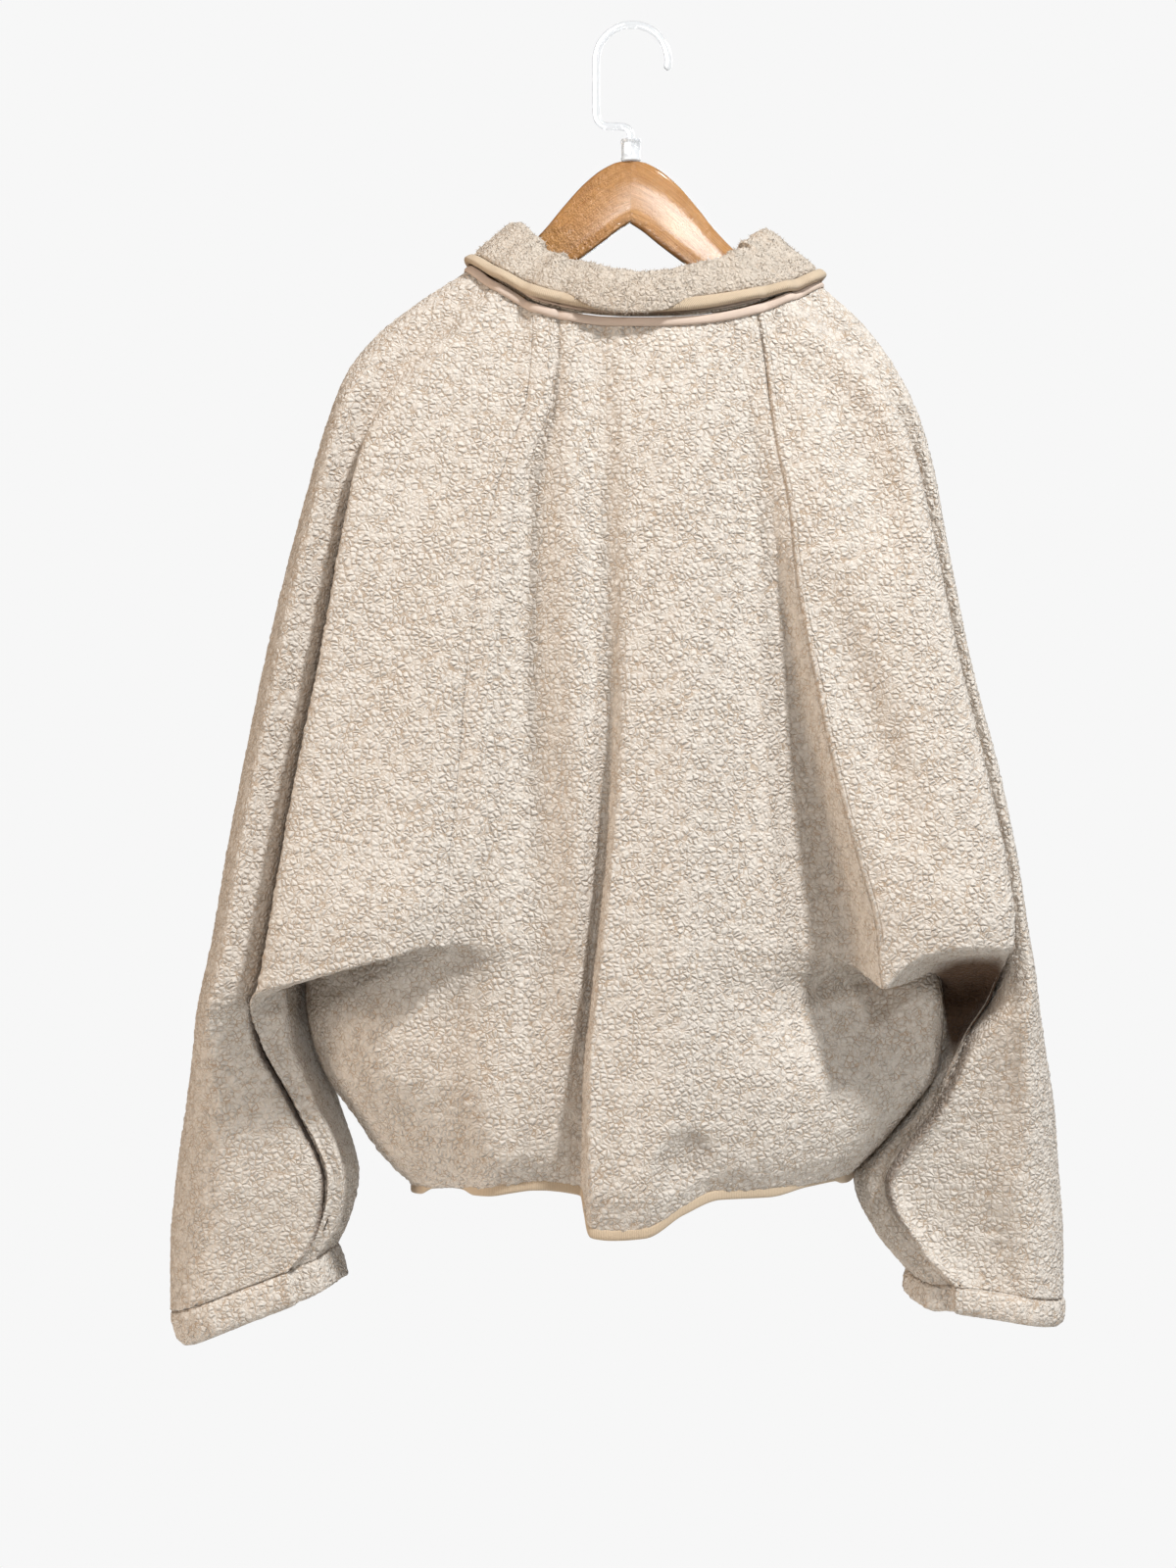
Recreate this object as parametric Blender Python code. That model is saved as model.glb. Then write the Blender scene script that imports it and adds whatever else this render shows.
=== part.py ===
"""Boxy fleece jacket with raglan batwing sleeves, hung by its shoulders on a wooden hanger.

The back faces -Y and +X is the wearer's right. The origin is the inside top of the
hanger's hook. Tables are in millimetres, and meshes are made in metres.
"""

import math

import bmesh
import bpy
import numpy as np
from mathutils import Matrix, Vector

for old in list(bpy.data.objects):
    bpy.data.objects.remove(old, do_unlink=True)

MM = 0.001
WALL = 4.0
SEAM_GAP = 0.2
UNDERARM_GAP = 0.8
COLLAR_WALL = 5.0
BINDING_HEIGHT = 6.5
BINDING_WALL = 5.0
HEM_BINDING_HEIGHT = 6.0
CUFF_HEIGHT = 23.0
CUFF_WALL = 6.0
CUFF_GAP = 0.9
TAPE_WALL = 0.9
TAPE_LIFT = 0.7
SHELL_LIFT = 0.6
NECK_TAPE_HEIGHT = 6.0
ZIP_HALF_WIDTH = 7.0
ZIP_TAPE_WALL = 1.2
TEETH_HALF_WIDTH = 2.6
TEETH_WALL = 2.6
HANGER_HALF_THICKNESS = 6.0
HANGER_TILT = 0.55
HOOK_ROD = 2.5
HOOK_RADIUS = 24.0
LEVELS = 18
UNDERARM = 12

# Sections of the left sleeve, neck to cuff seam. The back seam, the edge of the draped
# fold, the outer outline and the front seam are points. The others are depths.
SLEEVE_COLUMNS = (
    "seam_x seam_y seam_z drape_y edge_x edge_z crease lobe_y "
    "outer_x outer_y outer_z chest_y front_x front_y front_z"
).split()
LEFT_SLEEVE = [
    (-65, -46, -189, -38, -88, -174, -6, -24, -105, -2, -160, 26, -62, 38, -204),
    (-66, -54, -222, -49, -112, -202, -8, -30, -140, 0, -182, 34, -64, 46, -236),
    (-69, -61, -253, -58, -139, -228, -5, -36, -169, 1, -205, 40, -70, 50, -276),
    (-79, -67, -285, -65, -162, -257, 1, -43, -188, 3, -229, 44, -78, 52, -314),
    (-90, -73, -320, -71, -176, -290, 6, -50, -201, 4, -262, 46, -86, 53, -348),
    (-99, -80, -372, -79, -187, -344, 13, -57, -217, 6, -318, 48, -97, 54, -398),
    (-107, -86, -435, -87, -199, -414, 19, -64, -237, 8, -396, 50, -112, 54, -452),
    (-112, -91, -498, -95, -214, -492, 23, -70, -256, 9, -488, 50, -130, 54, -508),
    (-117, -96, -548, -102, -224, -550, 25, -75, -268, 9, -552, 50, -152, 50, -556),
    (-123, -101, -583, -109, -232, -600, 25, -79, -275, 9, -596, 50, -176, 42, -588),
    (-130, -101, -603, -109, -238, -630, 22, -80, -280, 9, -620, 50, -196, 28, -606),
    (-165, -74, -607, -88, -243, -638, 16, -78, -284, 9, -638, 50, -208, 8, -611),
    (-216, -22, -609, -60, -245, -647, 12, -72, -287, 9, -654, 50, -216, -22, -609),
    (-213, 3, -655, -50, -239, -669, 16, -62, -290, 9, -676, 50, -213, 3, -655),
    (-196, 8, -706, -44, -217, -710, 17, -52, -296, 10, -715, 50, -196, 8, -706),
    (-181, 9, -758, -36, -198, -758, 12, -44, -303, 11, -763, 49, -181, 9, -758),
    (-187, 10, -788, -29, -206, -796, 3, -35, -307, 12, -810, 47, -187, 10, -788),
    (-195, 12, -806, -26, -225, -818, 0, -31, -307, 13, -850, 45, -195, 12, -806),
]
RIGHT_SLEEVE = [
    (80, -45, -190, -38, 101, -181, -6, -22, 121, -2, -169, 26, 78, 38, -208),
    (85, -54, -228, -51, 128, -212, -8, -27, 153, 0, -198, 34, 80, 46, -240),
    (88, -62, -260, -61, 158, -241, -4, -30, 175, 1, -229, 40, 86, 50, -280),
    (92, -68, -289, -69, 174, -269, 3, -34, 188, 3, -257, 44, 92, 52, -317),
    (98, -74, -320, -76, 183, -298, 6, -38, 197, 4, -288, 46, 100, 53, -350),
    (103, -83, -371, -86, 194, -354, 8, -42, 208, 6, -348, 48, 110, 54, -399),
    (114, -92, -435, -95, 208, -425, 10, -46, 223, 8, -424, 50, 124, 54, -453),
    (127, -98, -498, -103, 225, -498, 11, -50, 242, 9, -498, 50, 140, 54, -508),
    (141, -104, -552, -110, 236, -553, 13, -52, 253, 9, -554, 50, 160, 50, -556),
    (150, -107, -586, -114, 240, -584, 15, -54, 258, 9, -588, 50, 180, 42, -588),
    (156, -106, -630, -112, 240, -603, 20, -56, 262, 9, -611, 50, 192, 26, -606),
    (171, -82, -628, -86, 239, -609, 28, -58, 265, 9, -631, 50, 198, 4, -610),
    (198, -26, -616, -32, 234, -640, 44, -58, 268, 9, -650, 50, 198, -26, -616),
    (206, 7, -656, -16, 217, -668, 38, -55, 273, 9, -674, 50, 206, 7, -656),
    (186, 8, -706, -14, 198, -709, 18, -50, 280, 10, -715, 50, 186, 8, -706),
    (147, 9, -760, -16, 164, -762, 8, -44, 284, 11, -763, 49, 147, 9, -760),
    (160, 11, -794, -22, 182, -798, 3, -37, 287, 12, -804, 47, 160, 11, -794),
    (182, 12, -822, -24, 210, -828, 0, -32, 287, 13, -840, 45, 182, 12, -822),
]

# The trunk at the same levels: depths of the back and the chest, the zip's line, and
# below the underarm the side seams.
TRUNK_COLUMNS = (
    "back_y back_z chest_y zip_x zip_y zip_z left_x left_y left_z right_x right_y right_z"
).split()
TRUNK = [
    (-51, -199.5, 50, 8, 49, -262, 0, 0, 0, 0, 0, 0),
    (-58, -231, 53, 8, 51, -284, 0, 0, 0, 0, 0, 0),
    (-64, -260, 55, 8, 53, -310, 0, 0, 0, 0, 0, 0),
    (-69, -289, 57, 8, 55, -338, 0, 0, 0, 0, 0, 0),
    (-73, -321, 58, 8, 56, -366, 0, 0, 0, 0, 0, 0),
    (-79, -371, 59, 8, 57, -406, 0, 0, 0, 0, 0, 0),
    (-85, -432, 60, 7, 58, -456, 0, 0, 0, 0, 0, 0),
    (-89, -493, 61, 7, 58, -510, 0, 0, 0, 0, 0, 0),
    (-91, -542, 61, 7, 58, -556, 0, 0, 0, 0, 0, 0),
    (-92, -575, 61, 7, 58, -588, 0, 0, 0, 0, 0, 0),
    (-92, -598, 61, 7, 58, -606, 0, 0, 0, 0, 0, 0),
    (-92, -616, 61, 7, 58, -618, 0, 0, 0, 0, 0, 0),
    (-92, -632, 61, 6, 58, -632, -216, -22, -609, 198, -26, -616),
    (-91, -658, 60, 6, 57, -662, -214, -20, -650, 204, -22, -650),
    (-91, -688, 59, 6, 56, -694, -203, -19, -688, 200, -19, -688),
    (-90, -715, 56, 5, 54, -722, -183, -12, -719, 184, -14, -712),
    (-87, -740, 52, 5, 51, -748, -164, -5, -747, 163, -8, -738),
    (-78, -760, 46, 5, 46, -768, -146, 0, -765, 146, 0, -756),
]

# Ridges and valleys of the back, left to right: where each runs at seven heights, and how
# far it stands out of the back there.
RIDGE_HEIGHTS = (-195, -305, -435, -533, -630, -695, -767)
RIDGES = [
    ("left_side", (-59, -80, -95, -100, -165, -168, -120), (0, 0, 0, 0, 0, 0, 0)),
    ("left_dip", (-56, -76, -90, -95, -120, -122, -110), (0, -1, -2, -3, -6, -6, -2)),
    ("left_ridge", (-53, -71, -79, -85, -90, -92, -92), (0, -3, -5, -4, -2, 0, 2)),
    ("valley", (-50, -66, -68, -64, -62, -63, -64), (-1, -9, -12, -11, -8, -5, -4)),
    ("ridge", (-42, -40, -37, -34, -37, -48, -52), (0, 1, 2, 1, -3, -6, -8)),
    ("lobe_foot", (-22, -20, -18, -20, -28.5, -34, -34), (-1, -4, -6, -10, -13, -14, -13)),
    ("lobe_edge", (-8, -3, -3, -11, -22, -28, -28), (0, 3, 6, 9, 11, 12, 12)),
    ("lobe_crest", (23, 28, 28, 25, 22, 15, 6), (1, 5, 7, 9, 11, 12, 14)),
    ("lobe_right", (49, 52, 53, 53, 53, 53, 56), (0, 2, 2, 2, 2, 4, 2)),
    ("shade", (60, 68, 73, 80, 90, 95, 86), (0, -2, -6, -9, -10, -3, 1)),
    ("deep", (68, 78, 90, 105, 126, 136, 110), (0, -6, -14, -24, -30, -12, 0)),
    ("deep_right", (72, 84, 102, 124, 148, 168, 128), (0, -5, -18, -31, -36, -14, 0)),
]

# Soft folds added to whatever lies under them on the back side: the line in x at four
# heights, the half width, the depth inward, and where it fades out.
FOLD_COLUMNS = "z0 z1 z2 z3 x0 x1 x2 x3 half_width depth".split()
FOLDS = {
    "right_shoulder": (-215, -260, -310, -365, 110, 138, 152, 158, 15, 9),
    "right_drape": (-360, -430, -490, -545, 104, 134, 154, 168, 15, 8),
    "left_drape": (-240, -330, -430, -560, -120, -150, -172, -178, 22, 3),
}


def pchip(knots, values, at):
    """Smooth curve through the values that never swings past them. Values may have columns."""
    knots = np.asarray(knots, float)
    values = np.asarray(values, float)
    at = np.clip(np.asarray(at, float), knots[0], knots[-1])
    flat = values.reshape(len(knots), -1)
    step = np.diff(knots)[:, None]
    slope = np.diff(flat, axis=0) / step
    tangent = np.zeros_like(flat)
    before, after = slope[:-1], slope[1:]
    w1 = 2 * step[1:] + step[:-1]
    w2 = step[1:] + 2 * step[:-1]
    same = before * after > 0
    with np.errstate(divide="ignore", invalid="ignore"):
        mean = (w1 + w2) / (w1 / before + w2 / after)
    tangent[1:-1] = np.where(same, mean, 0.0)
    tangent[0] = slope[0]
    tangent[-1] = slope[-1]
    cell = np.clip(np.searchsorted(knots, at, side="right") - 1, 0, len(knots) - 2)
    h = step[cell]
    t = ((at - knots[cell]) / h[:, 0])[:, None]
    left, right = flat[cell], flat[cell + 1]
    curve = (
        (2 * t**3 - 3 * t**2 + 1) * left
        + (t**3 - 2 * t**2 + t) * h * tangent[cell]
        + (3 * t**2 - 2 * t**3) * right
        + (t**3 - t**2) * h * tangent[cell + 1]
    )
    return curve.reshape((len(at),) + values.shape[1:])


def lerp(a, b, t):
    return a + (b - a) * t


def fold_depth(x, z):
    """How far the soft folds push the cloth inward at a point of the back side."""
    push = np.zeros_like(x)
    for row in FOLDS.values():
        f = dict(zip(FOLD_COLUMNS, row))
        line = np.interp(-z, (-f["z0"], -f["z1"], -f["z2"], -f["z3"]), (f["x0"], f["x1"], f["x2"], f["x3"]))
        along = np.clip((f["z0"] - z) / (f["z0"] - f["z3"]), 0, 1)
        across = np.clip(np.abs(x - line) / (2 * f["half_width"]), 0, 1)
        push += f["depth"] * (1 - across**2) ** 2 * np.sin(math.pi * along) ** 0.7
    return push


SLEEVE_KNOTS = np.array([0, 1, 2, 3, 4, 4.7, 5.4, 6.4, 7.4, 8, 9, 10, 11, 12.0])


# How soon the lip under each draped fold levels out beside its seam.
LEFT_LIP, RIGHT_LIP = 1.0, 5.0


def sleeve(table, levels, across, lip):
    """Outer surface of a sleeve. Levels run 0 to 17 down it, and across runs 0 to 12 from
    the back seam over the outside to the front seam."""
    rows = pchip(range(LEVELS), table, levels)
    c = dict(zip(SLEEVE_COLUMNS, rows.T))
    edge_y = lerp(c["drape_y"], c["lobe_y"], 0.35)
    floor_y = c["lobe_y"] + c["crease"] - 2
    reach = c["outer_x"] - c["edge_x"]
    side = np.sign(reach)
    lip_step = np.minimum(7.0, 0.3 * np.abs(reach)) * side
    levels = np.asarray(levels, float)
    curve = 1 + (lip - 1) * np.clip((levels - 7) / 2, 0, 1)
    nose = 0.75 - 0.35 * np.clip((levels - UNDERARM) / 0.5, 0, 1)
    points = []

    def add(x, y, z):
        points.append(np.stack([x, y, z], axis=1))

    def from_seam(share, y):
        add(lerp(c["seam_x"], c["edge_x"], share), y, lerp(c["seam_z"], c["edge_z"], 1 - (1 - share) ** curve))

    def from_edge(share, y, x=None):
        x = lerp(c["edge_x"], c["outer_x"], share) if x is None else x
        add(x, y, lerp(c["edge_z"], c["outer_z"], (x - c["edge_x"]) / reach))

    def to_front(share, y, across_share=None):
        x_share = share if across_share is None else across_share
        add(lerp(c["outer_x"], c["front_x"], x_share), y, lerp(c["outer_z"], c["front_z"], share))

    from_seam(0.0, c["seam_y"])
    from_seam(0.18, lerp(c["seam_y"], c["drape_y"], nose))
    from_seam(0.5, c["drape_y"])
    from_seam(0.86, lerp(c["drape_y"], edge_y, 0.25))
    from_seam(1.0, edge_y)
    from_edge(0.12, floor_y, c["edge_x"] + 0.15 * lip_step)
    from_edge(0.3, lerp(c["lobe_y"], floor_y, 0.3), c["edge_x"] + lip_step)
    from_edge(0.6, c["lobe_y"])
    from_edge(0.92, lerp(c["lobe_y"], c["outer_y"], 0.4))
    from_edge(1.0, c["outer_y"])
    to_front(0.12, lerp(c["outer_y"], c["chest_y"], 0.7), 0.08)
    to_front(0.42, c["chest_y"])
    to_front(0.8, lerp(c["chest_y"], c["front_y"], 0.4))
    to_front(1.0, c["front_y"])
    control = np.stack(points)
    grid = pchip(SLEEVE_KNOTS, control, across).transpose(1, 0, 2)
    push = fold_depth(grid[..., 0], grid[..., 2])
    back_side = np.clip((8 - np.asarray(across)) / 2, 0, 1) * np.clip(np.asarray(across) / 1.5, 0, 1)
    above = np.clip((UNDERARM - 1.5 - levels) / 2, 0, 1)
    grid[..., 1] += push * back_side[None, :] * above[:, None]
    return grid


def side_lines(levels, first):
    """Left and right edges of the trunk's panels: the raglan seam, read from the sleeve's
    columns that start at first, and the side seam below the underarm."""
    rows = dict(zip(TRUNK_COLUMNS, np.array(TRUNK, float).T))
    above = (np.asarray(levels) <= UNDERARM)[:, None]
    sides = []
    for table, name in ((LEFT_SLEEVE, "left"), (RIGHT_SLEEVE, "right")):
        upper = np.array(table, float)[:, first:first + 3]
        lower = np.stack([rows[name + "_x"], rows[name + "_y"], rows[name + "_z"]], axis=1)
        seam = pchip(range(LEVELS), upper, levels)
        side = pchip(range(UNDERARM, LEVELS), lower[UNDERARM:], np.maximum(levels, UNDERARM))
        sides.append(np.where(above, seam, side))
    return sides


BACK_KNOTS = np.arange(len(RIDGES) + 2.0)
# The least distance between two ridge lines, and between one and a seam.
RIDGE_SPACE = 2.5
BESIDE_SEAM = 9.0


def ease(x):
    x = np.clip(x, 0, 1)
    return x * x * (3 - 2 * x)


def hem_drop(x):
    """The hem hangs lowest under the middle lobe."""
    lobe = ease((x + 35.0) / 8.0) * (1 - ease((x + 2.0) / 56.0))
    return 24.0 * lobe - 5.0 * np.exp(-(((x + 62.0) / 26.0) ** 2))


def back(levels, across):
    """Outer surface of the back panel. Across runs 0 to 13 from left to right."""
    levels = np.asarray(levels, float)
    across = np.asarray(across, float)
    left, right = side_lines(levels, SLEEVE_COLUMNS.index("seam_x"))
    trunk = pchip(range(LEVELS), np.array(TRUNK, float), levels)
    centre, middle_z = trunk[:, 0], trunk[:, 1]
    heights = -middle_z
    tops = [-h for h in RIDGE_HEIGHTS]
    paths = np.stack([pchip(tops, path, heights) for _, path, _ in RIDGES], axis=1)
    out = np.stack([pchip(tops, relief, heights) for _, _, relief in RIDGES], axis=1)
    grid = np.zeros((len(levels), len(across), 3))
    for i, level in enumerate(levels):
        xs = np.concatenate([[left[i, 0]], paths[i], [right[i, 0]]])
        for k in range(1, len(xs) - 1):
            xs[k] = max(xs[k], xs[k - 1] + (BESIDE_SEAM if k == 1 else RIDGE_SPACE))
        for k in range(len(xs) - 2, 0, -1):
            xs[k] = min(xs[k], xs[k + 1] - (BESIDE_SEAM if k == len(xs) - 2 else RIDGE_SPACE))
        relief = np.concatenate([[0.0], out[i], [0.0]])
        x = pchip(BACK_KNOTS, xs, across)
        bump = pchip(BACK_KNOTS, relief, across)
        t = (x - left[i, 0]) / (right[i, 0] - left[i, 0])
        s = np.abs(2 * t - 1)
        round_power = 0.6 + 0.15 * math.exp(-(((level - UNDERARM) / 1.5) ** 2))
        rise = np.clip(1 - s**2.8, 0, 1) ** round_power
        edge = lerp(left[i, 1], right[i, 1], t)
        y = lerp(edge, centre[i], rise) - bump
        flat_part = 4 + 14 * np.exp(-(((level - UNDERARM) / 0.8) ** 2)) if level > 4 else 2.5
        z = lerp(lerp(left[i, 2], right[i, 2], t), middle_z[i], 1 - s**flat_part)
        low = np.clip((level - UNDERARM - 1.0) / (LEVELS - 2.0 - UNDERARM), 0, 1)
        z = z - low**1.5 * hem_drop(x) * (1 - s**6)
        grid[i] = np.stack([x, y, z], axis=1)
    fade = np.clip((UNDERARM - 1.5 - levels) / 2, 0, 1)[:, None]
    near = np.clip(np.minimum(across, 13 - across) / 1.0, 0, 1)[None, :]
    grid[..., 1] += fold_depth(grid[..., 0], grid[..., 2]) * fade * near
    return grid


def front(side, levels, across):
    """Outer surface of a front. Across runs 0 to 1 from the side to the zip."""
    levels = np.asarray(levels, float)
    across = np.asarray(across, float)
    left, right = side_lines(levels, SLEEVE_COLUMNS.index("front_x"))
    edge = left if side < 0 else right
    rows = pchip(range(LEVELS), np.array(TRUNK, float), levels)
    chest, zip_x, zip_y, zip_z = rows[:, 2], rows[:, 3], rows[:, 4], rows[:, 5]
    grid = np.zeros((len(levels), len(across), 3))
    for i, level in enumerate(levels):
        x = lerp(edge[i, 0], zip_x[i] + side * ZIP_HALF_WIDTH, across)
        rise = np.clip(1 - (1 - across) ** 2.6, 0, 1) ** (0.5 if level > UNDERARM - 1 else 0.8)
        target = lerp(chest[i], zip_y[i], across**3)
        soft = 3.0 * np.sin(across * 2.4 * math.pi) * min(1.0, level / 6.0) * (1 - across**4)
        y = lerp(edge[i, 1], target, rise) - soft
        curve = across**1.6 if level < 3 else across
        z = lerp(edge[i, 2], zip_z[i], curve)
        grid[i] = np.stack([x, y, z], axis=1)
    return grid


def unit(vectors):
    return vectors / np.maximum(np.linalg.norm(vectors, axis=-1, keepdims=True), 1e-9)


def shared_normals(grids):
    """Normals of several grids, averaged where grids meet, so that walls meet in a mitre."""
    total = {}
    keys = {}
    for name, grid in grids.items():
        along = np.gradient(grid, axis=0)
        across = np.gradient(grid, axis=1)
        normal = unit(np.cross(along, across))
        keys[name] = np.round(grid, 2)
        for key, value in zip(keys[name].reshape(-1, 3), normal.reshape(-1, 3)):
            total[tuple(key)] = total.get(tuple(key), np.zeros(3)) + value
    result = {}
    for name, grid in grids.items():
        flat = [total[tuple(key)] for key in keys[name].reshape(-1, 3)]
        result[name] = unit(np.array(flat)).reshape(grid.shape)
    return result


UNDERARMS = [np.array(table[UNDERARM][:3], float) for table in (LEFT_SLEEVE, RIGHT_SLEEVE)]


def underarm_distance(points):
    """How far each point lies from the nearer point where four panels meet."""
    return np.minimum(*[np.linalg.norm(points - point, axis=-1, keepdims=True) for point in UNDERARMS])


def thickness(sheet):
    """The wall, pressed thinner under the arms."""
    return WALL * np.clip(0.3 + (underarm_distance(sheet) - 50.0) / 80.0, 0.3, 1.0)


def pull_in(sheet, sides):
    """Moves the named edges of a grid inward, so that neighbours leave a gap."""
    sheet = sheet.copy()
    moves = {"top": (0, 1, 0), "bottom": (-1, -2, 0), "first": (0, 1, 1), "last": (-1, -2, 1)}
    for side in sides:
        here, inner, axis = moves[side]
        rim = sheet[here] if axis == 0 else sheet[:, here]
        next_in = sheet[inner] if axis == 0 else sheet[:, inner]
        gap = SEAM_GAP + UNDERARM_GAP * np.clip(1 - underarm_distance(rim) / 120.0, 0, 1)
        rim += unit(next_in - rim) * gap
    return sheet


def make_material(name, colour, rough, metal=0.0, clear=0.0):
    mat = bpy.data.materials.new(name)
    mat.use_nodes = True
    shader = mat.node_tree.nodes["Principled BSDF"]
    shader.inputs["Base Color"].default_value = (*colour, 1.0)
    shader.inputs["Roughness"].default_value = rough
    shader.inputs["Metallic"].default_value = metal
    shader.inputs["Transmission Weight"].default_value = clear
    mat.diffuse_color = (*colour, 1.0)
    return mat


FLEECE = make_material("cream_fleece", (0.71, 0.62, 0.50), 0.95)
BINDING = make_material("tan_binding", (0.52, 0.40, 0.26), 0.85)
WOVEN = make_material("pale_woven", (0.72, 0.58, 0.48), 0.8)
ZIP_CLOTH = make_material("zip_cloth", (0.60, 0.50, 0.38), 0.85)
ZIP_PLASTIC = make_material("zip_plastic", (0.62, 0.53, 0.42), 0.45)
WOOD = make_material("varnished_wood", (0.58, 0.33, 0.13), 0.25)
CLEAR = make_material("clear_plastic", (0.85, 0.87, 0.88), 0.08, 0.0, 0.9)
STEEL = make_material("grey_ferrule", (0.45, 0.46, 0.47), 0.35, 0.8)

PARTS = bpy.data.collections.new("fleece_jacket")
bpy.context.scene.collection.children.link(PARTS)


def new_object(name, mesh, mat):
    obj = bpy.data.objects.new(name, mesh)
    mesh.materials.append(mat)
    PARTS.objects.link(obj)
    return obj


def wall(name, outer, inner, mat):
    """A closed wall: a grid laid on the outer points and extruded to the inner ones."""
    rows, cols = outer.shape[:2]
    bm = bmesh.new()
    place = bm.verts.layers.int.new("place")
    bmesh.ops.create_grid(bm, x_segments=cols - 1, y_segments=rows - 1, size=1.0)
    outer_flat = outer.reshape(-1, 3) * MM
    inner_flat = inner.reshape(-1, 3) * MM
    for vert in bm.verts:
        col = round((vert.co.x + 1) / 2 * (cols - 1))
        row = round((1 - vert.co.y) / 2 * (rows - 1))
        vert[place] = row * cols + col
        vert.co = outer_flat[vert[place]]
    grown = bmesh.ops.extrude_face_region(bm, geom=bm.faces[:], use_keep_orig=True)
    inner_verts = {vert for vert in grown["geom"] if isinstance(vert, bmesh.types.BMVert)}
    for vert in inner_verts:
        vert.co = inner_flat[vert[place]]
    # Rim faces are split the same way on neighbouring walls, so that their gap stays even.
    for face in list(bm.faces):
        outside = [vert for vert in face.verts if vert not in inner_verts]
        inside = [vert for vert in face.verts if vert in inner_verts]
        if outside and inside:
            low = min(outside, key=lambda vert: vert[place])
            high = max(inside, key=lambda vert: vert[place])
            bmesh.utils.face_split(face, low, high)
    bmesh.ops.recalc_face_normals(bm, faces=bm.faces)
    mesh = bpy.data.meshes.new(name)
    bm.to_mesh(mesh)
    bm.free()
    mesh.shade_smooth()
    mesh.set_sharp_from_angle(angle=math.radians(50))
    return new_object(name, mesh, mat)


def tube(name, rings, mat):
    """A solid lofted through rings of points, rows x around x 3, with flat ends."""
    rows, count = rings.shape[:2]
    bm = bmesh.new()
    verts = [[bm.verts.new(point * MM) for point in ring] for ring in rings]
    for i in range(rows - 1):
        here, there = verts[i], verts[i + 1]
        for j in range(count):
            k = (j + 1) % count
            bm.faces.new((here[j], here[k], there[k], there[j]))
    bm.faces.new(verts[0])
    bm.faces.new(verts[-1][::-1])
    bmesh.ops.recalc_face_normals(bm, faces=bm.faces)
    mesh = bpy.data.meshes.new(name)
    bm.to_mesh(mesh)
    bm.free()
    mesh.shade_smooth()
    mesh.set_sharp_from_angle(angle=math.radians(45))
    return new_object(name, mesh, mat)


def spread(counts):
    """Positions along a row of intervals, each split into its own number of steps."""
    places = [0.0]
    for start, count in enumerate(counts):
        places += [start + (k + 1) / count for k in range(count)]
    return np.array(places)


def spread_knots(knots, counts):
    steps = spread(counts)
    return np.interp(steps, range(len(knots)), knots)


LEVEL_STEPS = spread((1, 1, 1, 1, 2, 2, 2, 2, 1, 2, 3, 2, 1, 2, 2, 1, 1))
SLEEVE_STEPS = spread_knots(SLEEVE_KNOTS, (2, 2, 2, 2, 1, 1, 2, 2, 2, 2, 2, 2, 1))
BACK_STEPS = spread((3, 2, 2, 2, 2, 2, 2, 2, 2, 1, 1, 1, 3))
FRONT_STEPS = 1 - (1 - np.linspace(0, 1, 8)) ** 1.35

# The five panels share their seam points, so their walls meet in mitres.
sheets = {
    "sleeve_left": sleeve(LEFT_SLEEVE, LEVEL_STEPS, SLEEVE_STEPS, LEFT_LIP)[:, ::-1],
    "sleeve_right": sleeve(RIGHT_SLEEVE, LEVEL_STEPS, SLEEVE_STEPS, RIGHT_LIP),
    "back": back(LEVEL_STEPS, BACK_STEPS),
    "front_left": front(-1, LEVEL_STEPS, FRONT_STEPS)[:, ::-1],
    "front_right": front(1, LEVEL_STEPS, FRONT_STEPS),
}
normals = shared_normals(sheets)
inners = {name: sheet - normals[name] * thickness(sheet) for name, sheet in sheets.items()}
for name, sheet in sheets.items():
    edges = ("top", "first", "last", "bottom")
    wall(name, pull_in(sheet, edges), pull_in(inners[name], edges), FLEECE)

# Cuffs carry on below the sleeves: how far each step is down the cuff and out of the wall.
CUFF_STEPS = ((0.0, -0.6), (0.22, 1.0), (0.6, 1.4), (0.88, 0.4), (1.0, -1.2))
CUFF_DIRECTIONS = {"left": ((0.26, 0, -0.965), CUFF_HEIGHT), "right": ((-0.03, 0, -1.0), 18.0)}


def cuff(side):
    """Outer and inner grids of a cuff, from the last row of its sleeve."""
    rim = sheets["sleeve_" + side][-1]
    normal = normals["sleeve_" + side][-1]
    direction, height = CUFF_DIRECTIONS[side]
    down = np.array(direction)
    outer = np.stack([rim + down * (CUFF_GAP + share * height) + normal * out for share, out in CUFF_STEPS])
    inner = np.stack([rim + down * (CUFF_GAP + share * height) - normal * (CUFF_WALL - out)
                      for share, out in CUFF_STEPS])
    inner[0] = inners["sleeve_" + side][-1] + down * CUFF_GAP
    outer[0] = rim + down * CUFF_GAP
    return outer, inner


for side in ("left", "right"):
    outer, inner = cuff(side)
    edges = ("top", "first", "last")
    wall("cuff_" + side, pull_in(outer, edges), pull_in(inner, edges), FLEECE)


def ring_of(names, row, source):
    """One row of several panels joined end to end."""
    parts = [source[name][row] for name in names]
    return np.concatenate([parts[0]] + [part[1:] for part in parts[1:]])


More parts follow.
